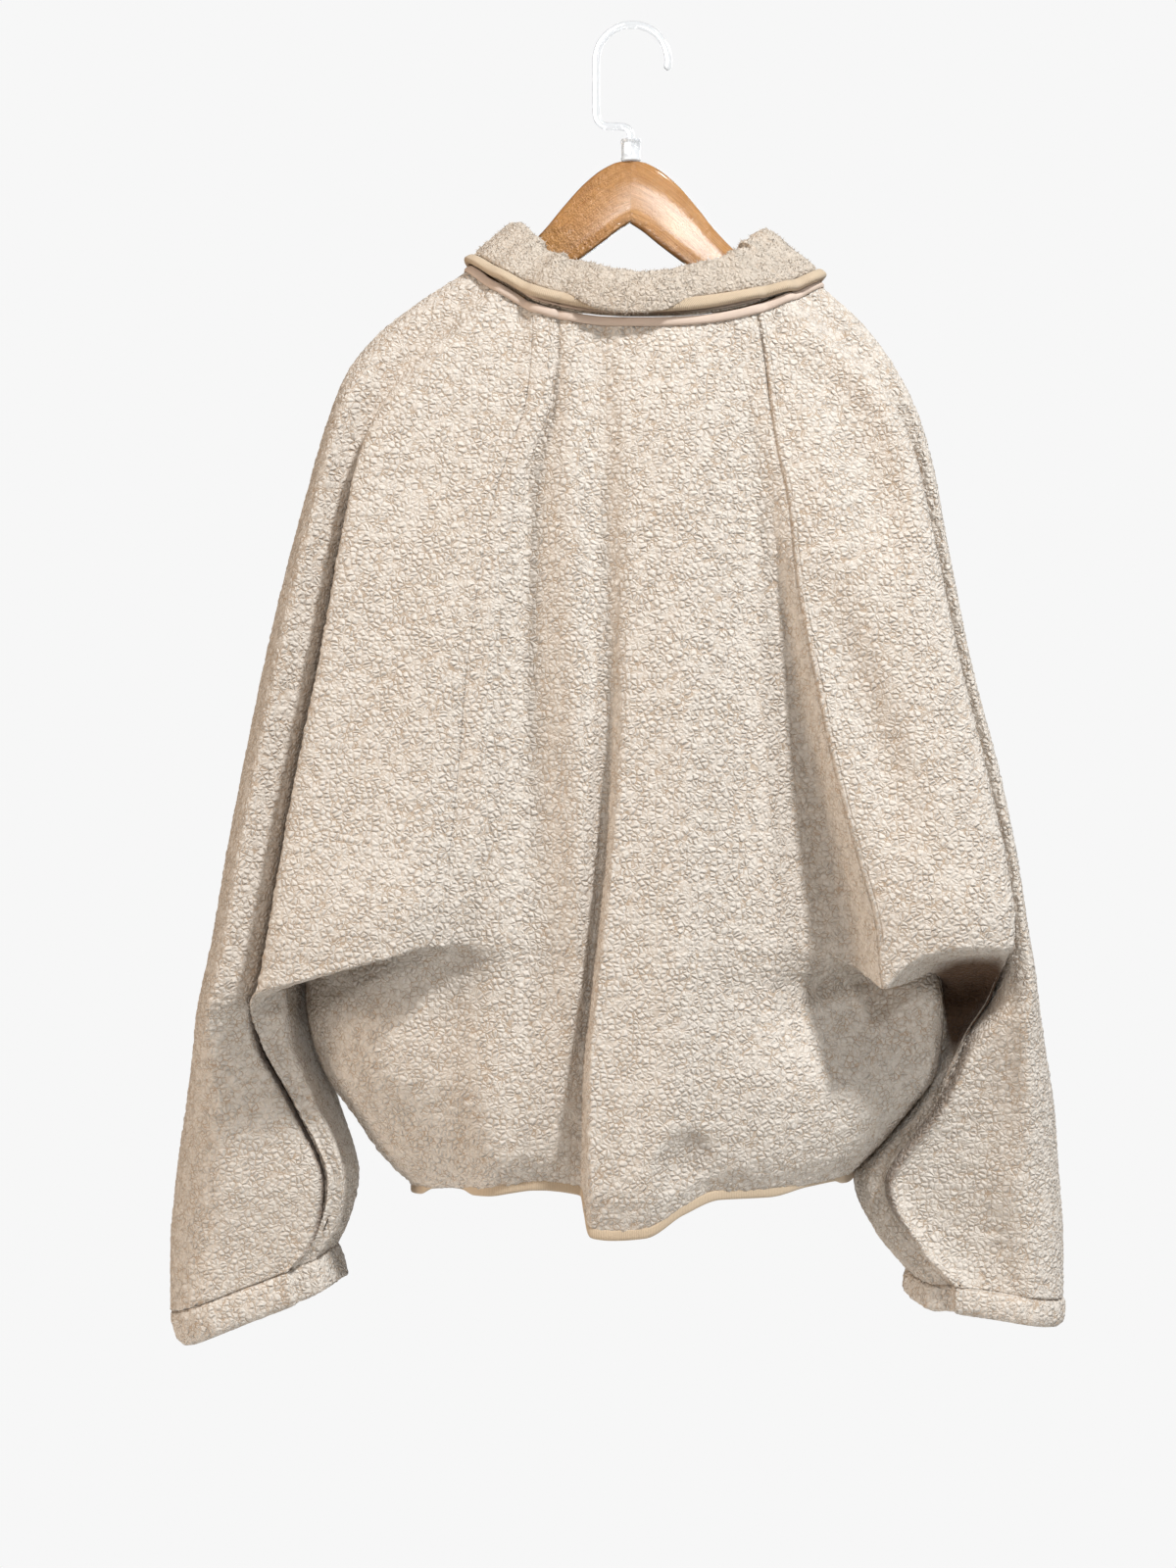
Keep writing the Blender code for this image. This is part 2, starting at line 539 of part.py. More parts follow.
# The elastic binding runs along the hem from one side of the zip to the other.
HEM_NAMES = ("front_left", "back", "front_right")
hem_rim = ring_of(HEM_NAMES, -1, sheets)
hem_out = ring_of(HEM_NAMES, -1, normals)
HEM_STEPS = ((0.0, 0.2), (0.3, 0.9), (0.75, 0.7), (1.0, -0.8))
down = np.array([0.0, 0.0, -1.0])
hem_rows = [hem_rim + down * (0.25 + share * HEM_BINDING_HEIGHT) for share, out in HEM_STEPS]
outer = np.stack([row + hem_out * out for row, (share, out) in zip(hem_rows, HEM_STEPS)])
inner = outer - hem_out * BINDING_WALL
edges = ("top", "first", "last")
wall("hem_binding", pull_in(outer, edges), pull_in(inner, edges), BINDING)

# The collar stands on the neck seam, rolls outward and falls back over itself. Along the
# seam from one front end to the other: lean inward in degrees, height of the roll, how low
# the fall reaches, and the space between stand and fall.
NECK_NAMES = ("front_left", "sleeve_left", "back", "sleeve_right", "front_right")
COLLAR_COLUMNS = "share lean height fall_end space".split()
COLLAR = [
    (0.00, 22, 30, 12, 4.0),
    (0.14, 24, 32, 11, 3.5),
    (0.22, 30, 37, 8, 3.5),
    (0.30, 43, 44, 5, 3.6),
    (0.42, 24, 38, 8, 3.4),
    (0.50, 10, 29, 7.5, 4.0),
    (0.61, 22, 38, 8, 3.4),
    (0.70, 45, 52, 2.0, 3.4),
    (0.75, 39, 48, 5, 3.5),
    (0.80, 30, 41, 8, 3.5),
    (0.87, 24, 32, 11, 3.5),
    (1.00, 22, 30, 12, 4.0),
]
neck_rim = ring_of(NECK_NAMES, 0, sheets)
ROLL_BLEND = 12.0
COLLAR_GAP = 0.8
neck_next = ring_of(NECK_NAMES, 1, sheets)
neck_out = ring_of(NECK_NAMES, 0, normals)


def along_curve(points):
    length = np.concatenate([[0.0], np.cumsum(np.linalg.norm(np.diff(points, axis=0), axis=1))])
    return length / length[-1]


def smooth_ring(values, times=3):
    for _ in range(times):
        values[1:-1] = 0.25 * values[:-2] + 0.5 * values[1:-1] + 0.25 * values[2:]
    return values


def collar_frames(rim, beyond, out):
    """For each point of the neck seam: the direction away from the panel, the collar's own
    up and outward directions, and its row of the table."""
    share = along_curve(rim)
    rows = pchip([r[0] for r in COLLAR], np.array(COLLAR, float)[:, 1:], share)
    tangent = unit(smooth_ring(np.gradient(rim, axis=0), 4))
    level = unit(np.stack([-tangent[:, 1], tangent[:, 0], np.zeros(len(rim))], axis=1))
    level = unit(smooth_ring(level * np.sign((level * out).sum(axis=1, keepdims=True)), 20))
    lean = np.radians(rows[:, :1])
    up = np.array([0.0, 0.0, 1.0]) * np.cos(lean) - level * np.sin(lean)
    outward = level * np.cos(lean) + np.array([0.0, 0.0, 1.0]) * np.sin(lean)
    up = unit(up - tangent * (up * tangent).sum(axis=1, keepdims=True))
    outward = unit(outward - tangent * (outward * tangent).sum(axis=1, keepdims=True))
    away = unit(rim - beyond)
    return share, away, up, outward, rows, tangent


share, away, up, outward, collar_rows, tangent = collar_frames(neck_rim, neck_next, neck_out)
soft_rim = smooth_ring(neck_rim.copy(), 14)
splay = np.clip(1 - share / 0.12, 0, 1)[:, None] - np.clip(1 - (1 - share) / 0.12, 0, 1)[:, None]


def collar_point(i, out, high):
    """A point of the collar's section. Its two front ends lean apart as they rise."""
    base = lerp(neck_rim[i] + away[i] * COLLAR_GAP, soft_rim[i], ease(high / ROLL_BLEND))
    return base + outward[i] * out + up[i] * high + tangent[i] * splay[i] * 1.1 * max(0.0, high)


STAND_STEPS = (1.0, 5.0, 10.0, 15.0)


def collar_section(i):
    height, fall_end, space = collar_rows[i][1:]
    inner_top = height - COLLAR_WALL
    mid = space / 2
    far = space + COLLAR_WALL
    points = [neck_rim[i] + away[i] * COLLAR_GAP]
    points += [collar_point(i, 0, high) for high in STAND_STEPS]
    points += [collar_point(i, 0, inner_top - mid)]
    points += [collar_point(i, mid, inner_top)]
    points += [collar_point(i, space, inner_top - mid), collar_point(i, space, fall_end)]
    points += [collar_point(i, far, fall_end), collar_point(i, far + 0.5, lerp(fall_end, height, 0.5))]
    points += [collar_point(i, far - 1.0, height - 4), collar_point(i, far - 4.0, height - 0.6)]
    points += [collar_point(i, mid - 2.0, height), collar_point(i, -3.2, height - 3)]
    points += [collar_point(i, -COLLAR_WALL, height - 8), collar_point(i, -COLLAR_WALL, 6)]
    points += [neck_rim[i] - neck_out[i] * WALL + away[i] * COLLAR_GAP]
    return points


def collar_binding_section(i):
    fall_end, space = collar_rows[i][2:]
    low, high = fall_end - 0.3 - BINDING_HEIGHT, fall_end - 0.3
    near, far = space - 0.3, space + COLLAR_WALL + 0.5
    corners = ((near + 0.8, high), (near, high - 1.6), (near, low + 1.6), (near + 1.4, low))
    corners += ((far - 1.4, low), (far, low + 1.6), (far, high - 1.6), (far - 0.8, high))
    return [collar_point(i, out, at) for out, at in corners]


# Every point of the neck seam in front, where it bends most, and every second one behind.
fronts = len(FRONT_STEPS)
collar_places = list(range(fronts)) + list(range(fronts + 1, len(neck_rim) - fronts, 2))
collar_places += list(range(len(neck_rim) - fronts, len(neck_rim)))
tube("collar", np.array([collar_section(i) for i in collar_places]), FLEECE)
tube("collar_binding", np.array([collar_binding_section(i) for i in collar_places]), BINDING)


def shell_sheet(out):
    rows = [[collar_point(i, out, high) for i in collar_places] for high in STAND_STEPS]
    return np.array(rows)[::-1]


wall("collar_shell", shell_sheet(SHELL_LIFT + TAPE_WALL), shell_sheet(SHELL_LIFT), WOVEN)

# A woven tape covers the neck seam on the panels' outside.
reach = unit(neck_next - neck_rim)
tape_rows = [neck_rim + reach * at for at in (0.9, NECK_TAPE_HEIGHT)]
wall("neck_tape", np.stack([row + neck_out * (TAPE_LIFT + TAPE_WALL) for row in tape_rows]),
     np.stack([row + neck_out * TAPE_LIFT for row in tape_rows]), WOVEN)


# The zip fills the space between the fronts: two tapes, two rows of teeth, a slider and box.
zip_rows = pchip(range(LEVELS), np.array(TRUNK, float), LEVEL_STEPS)[:, 3:6]
ZIP_TOP = 14.0
TAPE_BACK = 1.2
TEETH_BACK = 0.5


def zip_strip(name, near, far, front_y, thick, mat, start=0.0):
    line = zip_rows.copy()
    line[0, 2] -= start
    outer = np.stack([line + np.array([near, front_y, 0]), line + np.array([far, front_y, 0])], axis=1)
    return wall(name, outer, outer - np.array([0, thick, 0]), mat)


for side, name in ((-1, "left"), (1, "right")):
    zip_strip("zip_tape_" + name, side * (ZIP_HALF_WIDTH - 0.1), side * (TEETH_HALF_WIDTH + 0.3), -TAPE_BACK,
              ZIP_TAPE_WALL, ZIP_CLOTH)
    zip_strip("zip_teeth_" + name, side * TEETH_HALF_WIDTH, side * 0.15, -TEETH_BACK,
              TEETH_WALL, ZIP_PLASTIC, ZIP_TOP)


def block(name, centre, size, mat, bevel=0.4):
    """A box with rounded edges."""
    bm = bmesh.new()
    bmesh.ops.create_cube(bm, size=1.0)
    bmesh.ops.scale(bm, vec=Vector(size) * MM, verts=bm.verts)
    edges = bm.edges[:]
    bmesh.ops.bevel(bm, geom=edges, offset=bevel * MM, segments=1, profile=0.5, affect="EDGES", material=-1)
    mesh = bpy.data.meshes.new(name)
    bm.to_mesh(mesh)
    bm.free()
    obj = new_object(name, mesh, mat)
    obj.location = Vector(centre) * MM
    return obj


def cutter(name, centre, size, target):
    """A box that a Boolean takes out of its target."""
    bm = bmesh.new()
    bmesh.ops.create_cube(bm, size=1.0)
    bmesh.ops.scale(bm, vec=Vector(size) * MM, verts=bm.verts)
    mesh = bpy.data.meshes.new(name)
    bm.to_mesh(mesh)
    bm.free()
    obj = bpy.data.objects.new(name, mesh)
    CUTTERS.objects.link(obj)
    obj.location = Vector(centre) * MM
    obj.hide_render = True
    obj.display_type = "WIRE"
    cut = target.modifiers.new(name, "BOOLEAN")
    cut.operation = "DIFFERENCE"
    cut.object = obj
    return obj


CUTTERS = bpy.data.collections.new("cutters")
bpy.context.scene.collection.children.link(CUTTERS)

zip_x, zip_y, zip_z = zip_rows[0]
SLIDER_SIZE = (9.0, 3.0, 12.0)
ARCH_SIZE = (2.2, 3.6, 9.0)
ARCH_HOLE = (4.0, 2.4, 5.0)
TAB_SIZE = (7.0, 1.6, 24.0)
TAB_BAR = 1.6
TAB_WINDOW = (4.2, 3.0, 4.6)
slider_z = zip_z - 1.0 - SLIDER_SIZE[2] / 2
slider_foot = -(slider_z - SLIDER_SIZE[2] / 2)
slider_y = np.interp(slider_foot, -zip_rows[:, 2], zip_rows[:, 1]) - TAPE_BACK + 0.3 + SLIDER_SIZE[1] / 2
slider = block("zip_slider", (zip_x, slider_y, slider_z), SLIDER_SIZE, ZIP_PLASTIC)
arch_y = slider_y + SLIDER_SIZE[1] / 2 - 0.4 + ARCH_SIZE[1] / 2
arch = block("slider_arch", (zip_x, arch_y, slider_z), ARCH_SIZE, ZIP_PLASTIC, 0.3)
PARTS.objects.unlink(arch)
CUTTERS.objects.link(arch)
arch.hide_render = True
arch.display_type = "WIRE"
join = slider.modifiers.new("arch", "BOOLEAN")
join.operation = "UNION"
join.object = arch
hinge_y = slider_y + SLIDER_SIZE[1] / 2 + ARCH_HOLE[1] / 2
cutter("arch_hole", (zip_x, hinge_y, slider_z), ARCH_HOLE, slider)

# The pull tab hangs on its bar, which passes under the slider's arch.
hinge = Vector((zip_x, hinge_y, slider_z))
tab = block("pull_tab", hinge + Vector((0, 0, TAB_BAR / 2 - TAB_SIZE[2] / 2)), TAB_SIZE, ZIP_PLASTIC, 0.35)
tab.data.transform(Matrix.Translation(Vector((0, 0, (TAB_BAR - TAB_SIZE[2]) / 2)) * MM))
tab.location = hinge * MM
cutter("tab_window", hinge + Vector((0, 0, -TAB_BAR / 2 - TAB_WINDOW[2] / 2)), TAB_WINDOW, tab)

box_x, box_y, box_z = zip_rows[-1]
block("zip_box", (box_x, box_y - 2.0, box_z - 0.4 - 3.0), (8.0, 4.4, 6.0), ZIP_PLASTIC, 0.5)


# The hanger: two arms glued at the middle, a ferrule and a hook bent from clear rod.
ARM_COLUMNS = "x top bottom".split()
ARM = [
    (0.2, -88, -129),
    (8, -89, -134),
    (18, -93.5, -142),
    (30, -103, -151),
    (44, -118.5, -161),
    (57, -134.5, -171),
    (70, -147.5, -180),
    (84, -159, -187),
    (96, -165.6, -193),
    (108, -171.8, -199),
    (120, -178, -205),
    (130, -183.8, -210),
    (140, -192.7, -216),
    (150, -201.8, -223),
    (162, -218.4, -232),
    (168, -226, -231),
]
ARM_SIDES = 12


def arm_ring(x, top, bottom):
    centre, half = (top + bottom) / 2, (top - bottom) / 2
    ring = []
    for k in range(ARM_SIDES):
        angle = 2 * math.pi * (k + 0.5) / ARM_SIDES
        c, s = math.cos(angle), math.sin(angle)
        y = HANGER_HALF_THICKNESS * math.copysign(abs(c) ** 0.5, c)
        z = centre + half * math.copysign(abs(s) ** 0.8, s)
        ring.append((x, y, z))
    return ring


tilt = Matrix.Rotation(math.radians(HANGER_TILT), 4, "Y")
for side, name in ((-1, "left"), (1, "right")):
    rings = np.array([arm_ring(x, top, bottom) for x, top, bottom in ARM])
    rings[..., 0] *= side
    arm = tube("hanger_arm_" + name, rings, WOOD)
    arm.data.transform(tilt)

FERRULE_RADIUS = 6.5
FERRULE_HEIGHT = 14.7
FERRULE_FOOT = -88.2
bm = bmesh.new()
bmesh.ops.create_cone(bm, cap_ends=True, segments=20, radius1=FERRULE_RADIUS * MM,
                      radius2=FERRULE_RADIUS * MM, depth=FERRULE_HEIGHT * MM)
mesh = bpy.data.meshes.new("ferrule")
bm.to_mesh(mesh)
bm.free()
ferrule = new_object("ferrule", mesh, STEEL)
ferrule_x = -88.0 * math.sin(math.radians(HANGER_TILT))
ferrule.location = Vector((ferrule_x, 0, FERRULE_FOOT + FERRULE_HEIGHT / 2)) * MM
mesh.shade_smooth()
mesh.set_sharp_from_angle(angle=math.radians(40))


def hook_path():
    """The rod's centre line: up from the ferrule, over to the left, and round in an arc."""
    points = [(ferrule_x, -73.2), (ferrule_x, -69), (-4, -66), (-9, -65)]
    points += [(-17, -65), (-21.5, -63), (-23.6, -58), (-HOOK_RADIUS, -50), (-HOOK_RADIUS, -36)]
    for k in range(13):
        angle = math.pi - k * math.radians(195) / 12
        points.append((HOOK_RADIUS * math.cos(angle), HOOK_RADIUS * math.sin(angle) - HOOK_RADIUS + HOOK_ROD))
    return points


curve = bpy.data.curves.new("hook", "CURVE")
curve.dimensions = "3D"
spline = curve.splines.new("POLY")
path = hook_path()
spline.points.add(len(path) - 1)
for point, (x, z) in zip(spline.points, path):
    point.co = (x * MM, 0, z * MM, 1)
curve.bevel_depth = HOOK_ROD * MM
curve.bevel_resolution = 2
curve.use_fill_caps = True
hook = bpy.data.objects.new("hook", curve)
curve.materials.append(CLEAR)
PARTS.objects.link(hook)
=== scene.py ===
"""Looks of a pile-fleece jacket on a wooden hanger, built around its packed solids."""

import math

import bmesh
import bpy
import numpy as np
from bpy.props import FloatProperty, FloatVectorProperty, PointerProperty
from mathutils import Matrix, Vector


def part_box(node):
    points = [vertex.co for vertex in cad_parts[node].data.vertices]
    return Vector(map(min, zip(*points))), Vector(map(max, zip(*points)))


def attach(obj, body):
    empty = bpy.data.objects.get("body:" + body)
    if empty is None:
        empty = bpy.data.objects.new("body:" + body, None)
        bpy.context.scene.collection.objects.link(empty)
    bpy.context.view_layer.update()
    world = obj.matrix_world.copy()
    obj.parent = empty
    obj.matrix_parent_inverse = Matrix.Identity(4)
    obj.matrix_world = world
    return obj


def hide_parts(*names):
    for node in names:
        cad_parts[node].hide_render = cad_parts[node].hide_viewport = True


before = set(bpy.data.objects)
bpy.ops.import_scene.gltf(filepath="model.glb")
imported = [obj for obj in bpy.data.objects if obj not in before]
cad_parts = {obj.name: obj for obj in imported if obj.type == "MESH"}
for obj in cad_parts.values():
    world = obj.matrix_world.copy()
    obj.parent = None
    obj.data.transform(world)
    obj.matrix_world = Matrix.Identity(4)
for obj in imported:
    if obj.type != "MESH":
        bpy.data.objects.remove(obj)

bl_info = {
    "name": "Fleece jacket on a hanger",
    "version": (1, 0, 0),
    "blender": (4, 5, 0),
    "location": "View3D > Sidebar > Jacket",
    "description": "Builds the fleece, bindings, zip and hanger of a jacket around its solids",
    "category": "Object",
}

MM = 0.001
# Levels of every panel from neck to hem or cuff, and the one at the underarm.
LEVELS = 18
UNDERARM = 12

# Sections of the left sleeve, neck to cuff seam. The back seam, the edge of the draped
# fold, the outer outline and the front seam are points. The others are depths.
SLEEVE_COLUMNS = (
    "seam_x seam_y seam_z drape_y edge_x edge_z crease lobe_y "
    "outer_x outer_y outer_z chest_y front_x front_y front_z"
).split()
LEFT_SLEEVE = [
    (-65, -46, -189, -38, -88, -174, -6, -24, -105, -2, -160, 26, -62, 38, -204),
    (-66, -54, -222, -49, -112, -202, -8, -30, -140, 0, -182, 34, -64, 46, -236),
    (-69, -61, -253, -58, -139, -228, -5, -36, -169, 1, -205, 40, -70, 50, -276),
    (-79, -67, -285, -65, -162, -257, 1, -43, -188, 3, -229, 44, -78, 52, -314),
    (-90, -73, -320, -71, -176, -290, 6, -50, -201, 4, -262, 46, -86, 53, -348),
    (-99, -80, -372, -79, -187, -344, 13, -57, -217, 6, -318, 48, -97, 54, -398),
    (-107, -86, -435, -87, -199, -414, 19, -64, -237, 8, -396, 50, -112, 54, -452),
    (-112, -91, -498, -95, -214, -492, 23, -70, -256, 9, -488, 50, -130, 54, -508),
    (-117, -96, -548, -102, -224, -550, 25, -75, -268, 9, -552, 50, -152, 50, -556),
    (-123, -101, -583, -109, -232, -600, 25, -79, -275, 9, -596, 50, -176, 42, -588),
    (-130, -101, -603, -109, -238, -630, 22, -80, -280, 9, -620, 50, -196, 28, -606),
    (-165, -74, -607, -88, -243, -638, 16, -78, -284, 9, -638, 50, -208, 8, -611),
    (-216, -22, -609, -60, -245, -647, 12, -72, -287, 9, -654, 50, -216, -22, -609),
    (-213, 3, -655, -50, -239, -669, 16, -62, -290, 9, -676, 50, -213, 3, -655),
    (-196, 8, -706, -44, -217, -710, 17, -52, -296, 10, -715, 50, -196, 8, -706),
    (-181, 9, -758, -36, -198, -758, 12, -44, -303, 11, -763, 49, -181, 9, -758),
    (-187, 10, -788, -29, -206, -796, 3, -35, -307, 12, -810, 47, -187, 10, -788),
    (-195, 12, -806, -26, -225, -818, 0, -31, -307, 13, -850, 45, -195, 12, -806),
]
RIGHT_SLEEVE = [
    (80, -45, -190, -38, 101, -181, -6, -22, 121, -2, -169, 26, 78, 38, -208),
    (85, -54, -228, -51, 128, -212, -8, -27, 153, 0, -198, 34, 80, 46, -240),
    (88, -62, -260, -61, 158, -241, -4, -30, 175, 1, -229, 40, 86, 50, -280),
    (92, -68, -289, -69, 174, -269, 3, -34, 188, 3, -257, 44, 92, 52, -317),
    (98, -74, -320, -76, 183, -298, 6, -38, 197, 4, -288, 46, 100, 53, -350),
    (103, -83, -371, -86, 194, -354, 8, -42, 208, 6, -348, 48, 110, 54, -399),
    (114, -92, -435, -95, 208, -425, 10, -46, 223, 8, -424, 50, 124, 54, -453),
    (127, -98, -498, -103, 225, -498, 11, -50, 242, 9, -498, 50, 140, 54, -508),
    (141, -104, -552, -110, 236, -553, 13, -52, 253, 9, -554, 50, 160, 50, -556),
    (150, -107, -586, -114, 240, -584, 15, -54, 258, 9, -588, 50, 180, 42, -588),
    (156, -106, -630, -112, 240, -603, 20, -56, 262, 9, -611, 50, 192, 26, -606),
    (171, -82, -628, -86, 239, -609, 28, -58, 265, 9, -631, 50, 198, 4, -610),
    (198, -26, -616, -32, 234, -640, 44, -58, 268, 9, -650, 50, 198, -26, -616),
    (206, 7, -656, -16, 217, -668, 38, -55, 273, 9, -674, 50, 206, 7, -656),
    (186, 8, -706, -14, 198, -709, 18, -50, 280, 10, -715, 50, 186, 8, -706),
    (147, 9, -760, -16, 164, -762, 8, -44, 284, 11, -763, 49, 147, 9, -760),
    (160, 11, -794, -22, 182, -798, 3, -37, 287, 12, -804, 47, 160, 11, -794),
    (182, 12, -822, -24, 210, -828, 0, -32, 287, 13, -840, 45, 182, 12, -822),
]
# How soon the lip under each draped fold levels out beside its seam.
LEFT_LIP = 1.0
RIGHT_LIP = 5.0

# The trunk at the same levels: depths of the back and the chest, the zip's line, and
# below the underarm the side seams.
TRUNK_COLUMNS = (
    "back_y back_z chest_y zip_x zip_y zip_z left_x left_y left_z right_x right_y right_z"
).split()
TRUNK = [
    (-51, -199.5, 50, 8, 49, -262, 0, 0, 0, 0, 0, 0),
    (-58, -231, 53, 8, 51, -284, 0, 0, 0, 0, 0, 0),
    (-64, -260, 55, 8, 53, -310, 0, 0, 0, 0, 0, 0),
    (-69, -289, 57, 8, 55, -338, 0, 0, 0, 0, 0, 0),
    (-73, -321, 58, 8, 56, -366, 0, 0, 0, 0, 0, 0),
    (-79, -371, 59, 8, 57, -406, 0, 0, 0, 0, 0, 0),
    (-85, -432, 60, 7, 58, -456, 0, 0, 0, 0, 0, 0),
    (-89, -493, 61, 7, 58, -510, 0, 0, 0, 0, 0, 0),
    (-91, -542, 61, 7, 58, -556, 0, 0, 0, 0, 0, 0),
    (-92, -575, 61, 7, 58, -588, 0, 0, 0, 0, 0, 0),
    (-92, -598, 61, 7, 58, -606, 0, 0, 0, 0, 0, 0),
    (-92, -616, 61, 7, 58, -618, 0, 0, 0, 0, 0, 0),
    (-92, -632, 61, 6, 58, -632, -216, -22, -609, 198, -26, -616),
    (-91, -658, 60, 6, 57, -662, -214, -20, -650, 204, -22, -650),
    (-91, -688, 59, 6, 56, -694, -203, -19, -688, 200, -19, -688),
    (-90, -715, 56, 5, 54, -722, -183, -12, -719, 184, -14, -712),
    (-87, -740, 52, 5, 51, -748, -164, -5, -747, 163, -8, -738),
    (-78, -760, 46, 5, 46, -768, -146, 0, -765, 146, 0, -756),
]

# Ridges and valleys of the back, left to right: where each runs at seven heights, and how
# far it stands out of the back there.
RIDGE_HEIGHTS = (-195, -305, -435, -533, -630, -695, -767)
RIDGES = [
    ("left_side", (-59, -80, -95, -100, -165, -168, -120), (0, 0, 0, 0, 0, 0, 0)),
    ("left_dip", (-56, -76, -90, -95, -120, -122, -110), (0, -1, -2, -3, -6, -6, -2)),
    ("left_ridge", (-53, -71, -79, -85, -90, -92, -92), (0, -3, -5, -4, -2, 0, 2)),
    ("valley", (-50, -66, -68, -64, -62, -63, -64), (-1, -9, -12, -11, -8, -5, -4)),
    ("ridge", (-42, -40, -37, -34, -37, -48, -52), (0, 1, 2, 1, -3, -6, -8)),
    ("lobe_foot", (-22, -20, -18, -20, -28.5, -34, -34), (-1, -4, -6, -10, -13, -14, -13)),
    ("lobe_edge", (-8, -3, -3, -11, -22, -28, -28), (0, 3, 6, 9, 11, 12, 12)),
    ("lobe_crest", (23, 28, 28, 25, 22, 15, 6), (1, 5, 7, 9, 11, 12, 14)),
    ("lobe_right", (49, 52, 53, 53, 53, 53, 56), (0, 2, 2, 2, 2, 4, 2)),
    ("shade", (60, 68, 73, 80, 90, 95, 86), (0, -2, -6, -9, -10, -3, 1)),
    ("deep", (68, 78, 90, 105, 126, 136, 110), (0, -6, -14, -24, -30, -12, 0)),
    ("deep_right", (72, 84, 102, 124, 148, 168, 128), (0, -5, -18, -31, -36, -14, 0)),
]

# Soft folds added to whatever lies under them on the back side: the line in x at four
# heights, the half width, the depth inward, and where it fades out.
FOLD_COLUMNS = "z0 z1 z2 z3 x0 x1 x2 x3 half_width depth".split()
FOLDS = {
    "right_shoulder": (-215, -260, -310, -365, 110, 138, 152, 158, 15, 9),
    "right_drape": (-360, -430, -490, -545, 104, 134, 154, 168, 15, 8),
    "left_drape": (-240, -330, -430, -560, -120, -150, -172, -178, 22, 3),
}
# Where the smooth curves across a sleeve and across the back have their points.
SLEEVE_KNOTS = np.array([0, 1, 2, 3, 4, 4.7, 5.4, 6.4, 7.4, 8, 9, 10, 11, 12.0])
BACK_KNOTS = np.arange(len(RIDGES) + 2.0)
# Least space between two ridges of the back, and between a ridge and a seam.
RIDGE_SPACE = 2.5
BESIDE_SEAM = 9.0
ZIP_HALF_WIDTH = 7.0


def pchip(knots, values, at):
    """Smooth curve through the values that never swings past them. Values may have columns."""
    knots = np.asarray(knots, float)
    values = np.asarray(values, float)
    at = np.clip(np.asarray(at, float), knots[0], knots[-1])
    flat = values.reshape(len(knots), -1)
    step = np.diff(knots)[:, None]
    slope = np.diff(flat, axis=0) / step
    tangent = np.zeros_like(flat)
    before = slope[:-1]
    after = slope[1:]
    w1 = 2 * step[1:] + step[:-1]
    w2 = step[1:] + 2 * step[:-1]
    with np.errstate(divide="ignore", invalid="ignore"):
        mean = (w1 + w2) / (w1 / before + w2 / after)
    tangent[1:-1] = np.where(before * after > 0, mean, 0.0)
    tangent[0] = slope[0]
    tangent[-1] = slope[-1]
    cell = np.clip(np.searchsorted(knots, at, side="right") - 1, 0, len(knots) - 2)
    h = step[cell]
    t = ((at - knots[cell]) / h[:, 0])[:, None]
    curve = (
        (2 * t**3 - 3 * t**2 + 1) * flat[cell]
        + (t**3 - 2 * t**2 + t) * h * tangent[cell]
        + (3 * t**2 - 2 * t**3) * flat[cell + 1]
        + (t**3 - t**2) * h * tangent[cell + 1]
    )
    return curve.reshape((len(at),) + values.shape[1:])


def lerp(a, b, t):
    """The value that lies a share t of the way from a to b."""
    return a + (b - a) * t


def ease(x):
    """From 0 to 1 with a soft start and end."""
    x = np.clip(x, 0, 1)
    return x * x * (3 - 2 * x)


def unit(vectors):
    """The same directions with a length of 1."""
    return vectors / np.maximum(np.linalg.norm(vectors, axis=-1, keepdims=True), 1e-9)


def fold_depth(x, z):
    """How far the soft folds push the cloth inward at a point of the back side."""
    push = np.zeros_like(x)
    for row in FOLDS.values():
        f = dict(zip(FOLD_COLUMNS, row))
        heights = (-f["z0"], -f["z1"], -f["z2"], -f["z3"])
        line = np.interp(-z, heights, (f["x0"], f["x1"], f["x2"], f["x3"]))
        along = np.clip((f["z0"] - z) / (f["z0"] - f["z3"]), 0, 1)
        across = np.clip(np.abs(x - line) / (2 * f["half_width"]), 0, 1)
        push += f["depth"] * (1 - across**2) ** 2 * np.sin(math.pi * along) ** 0.7
    return push


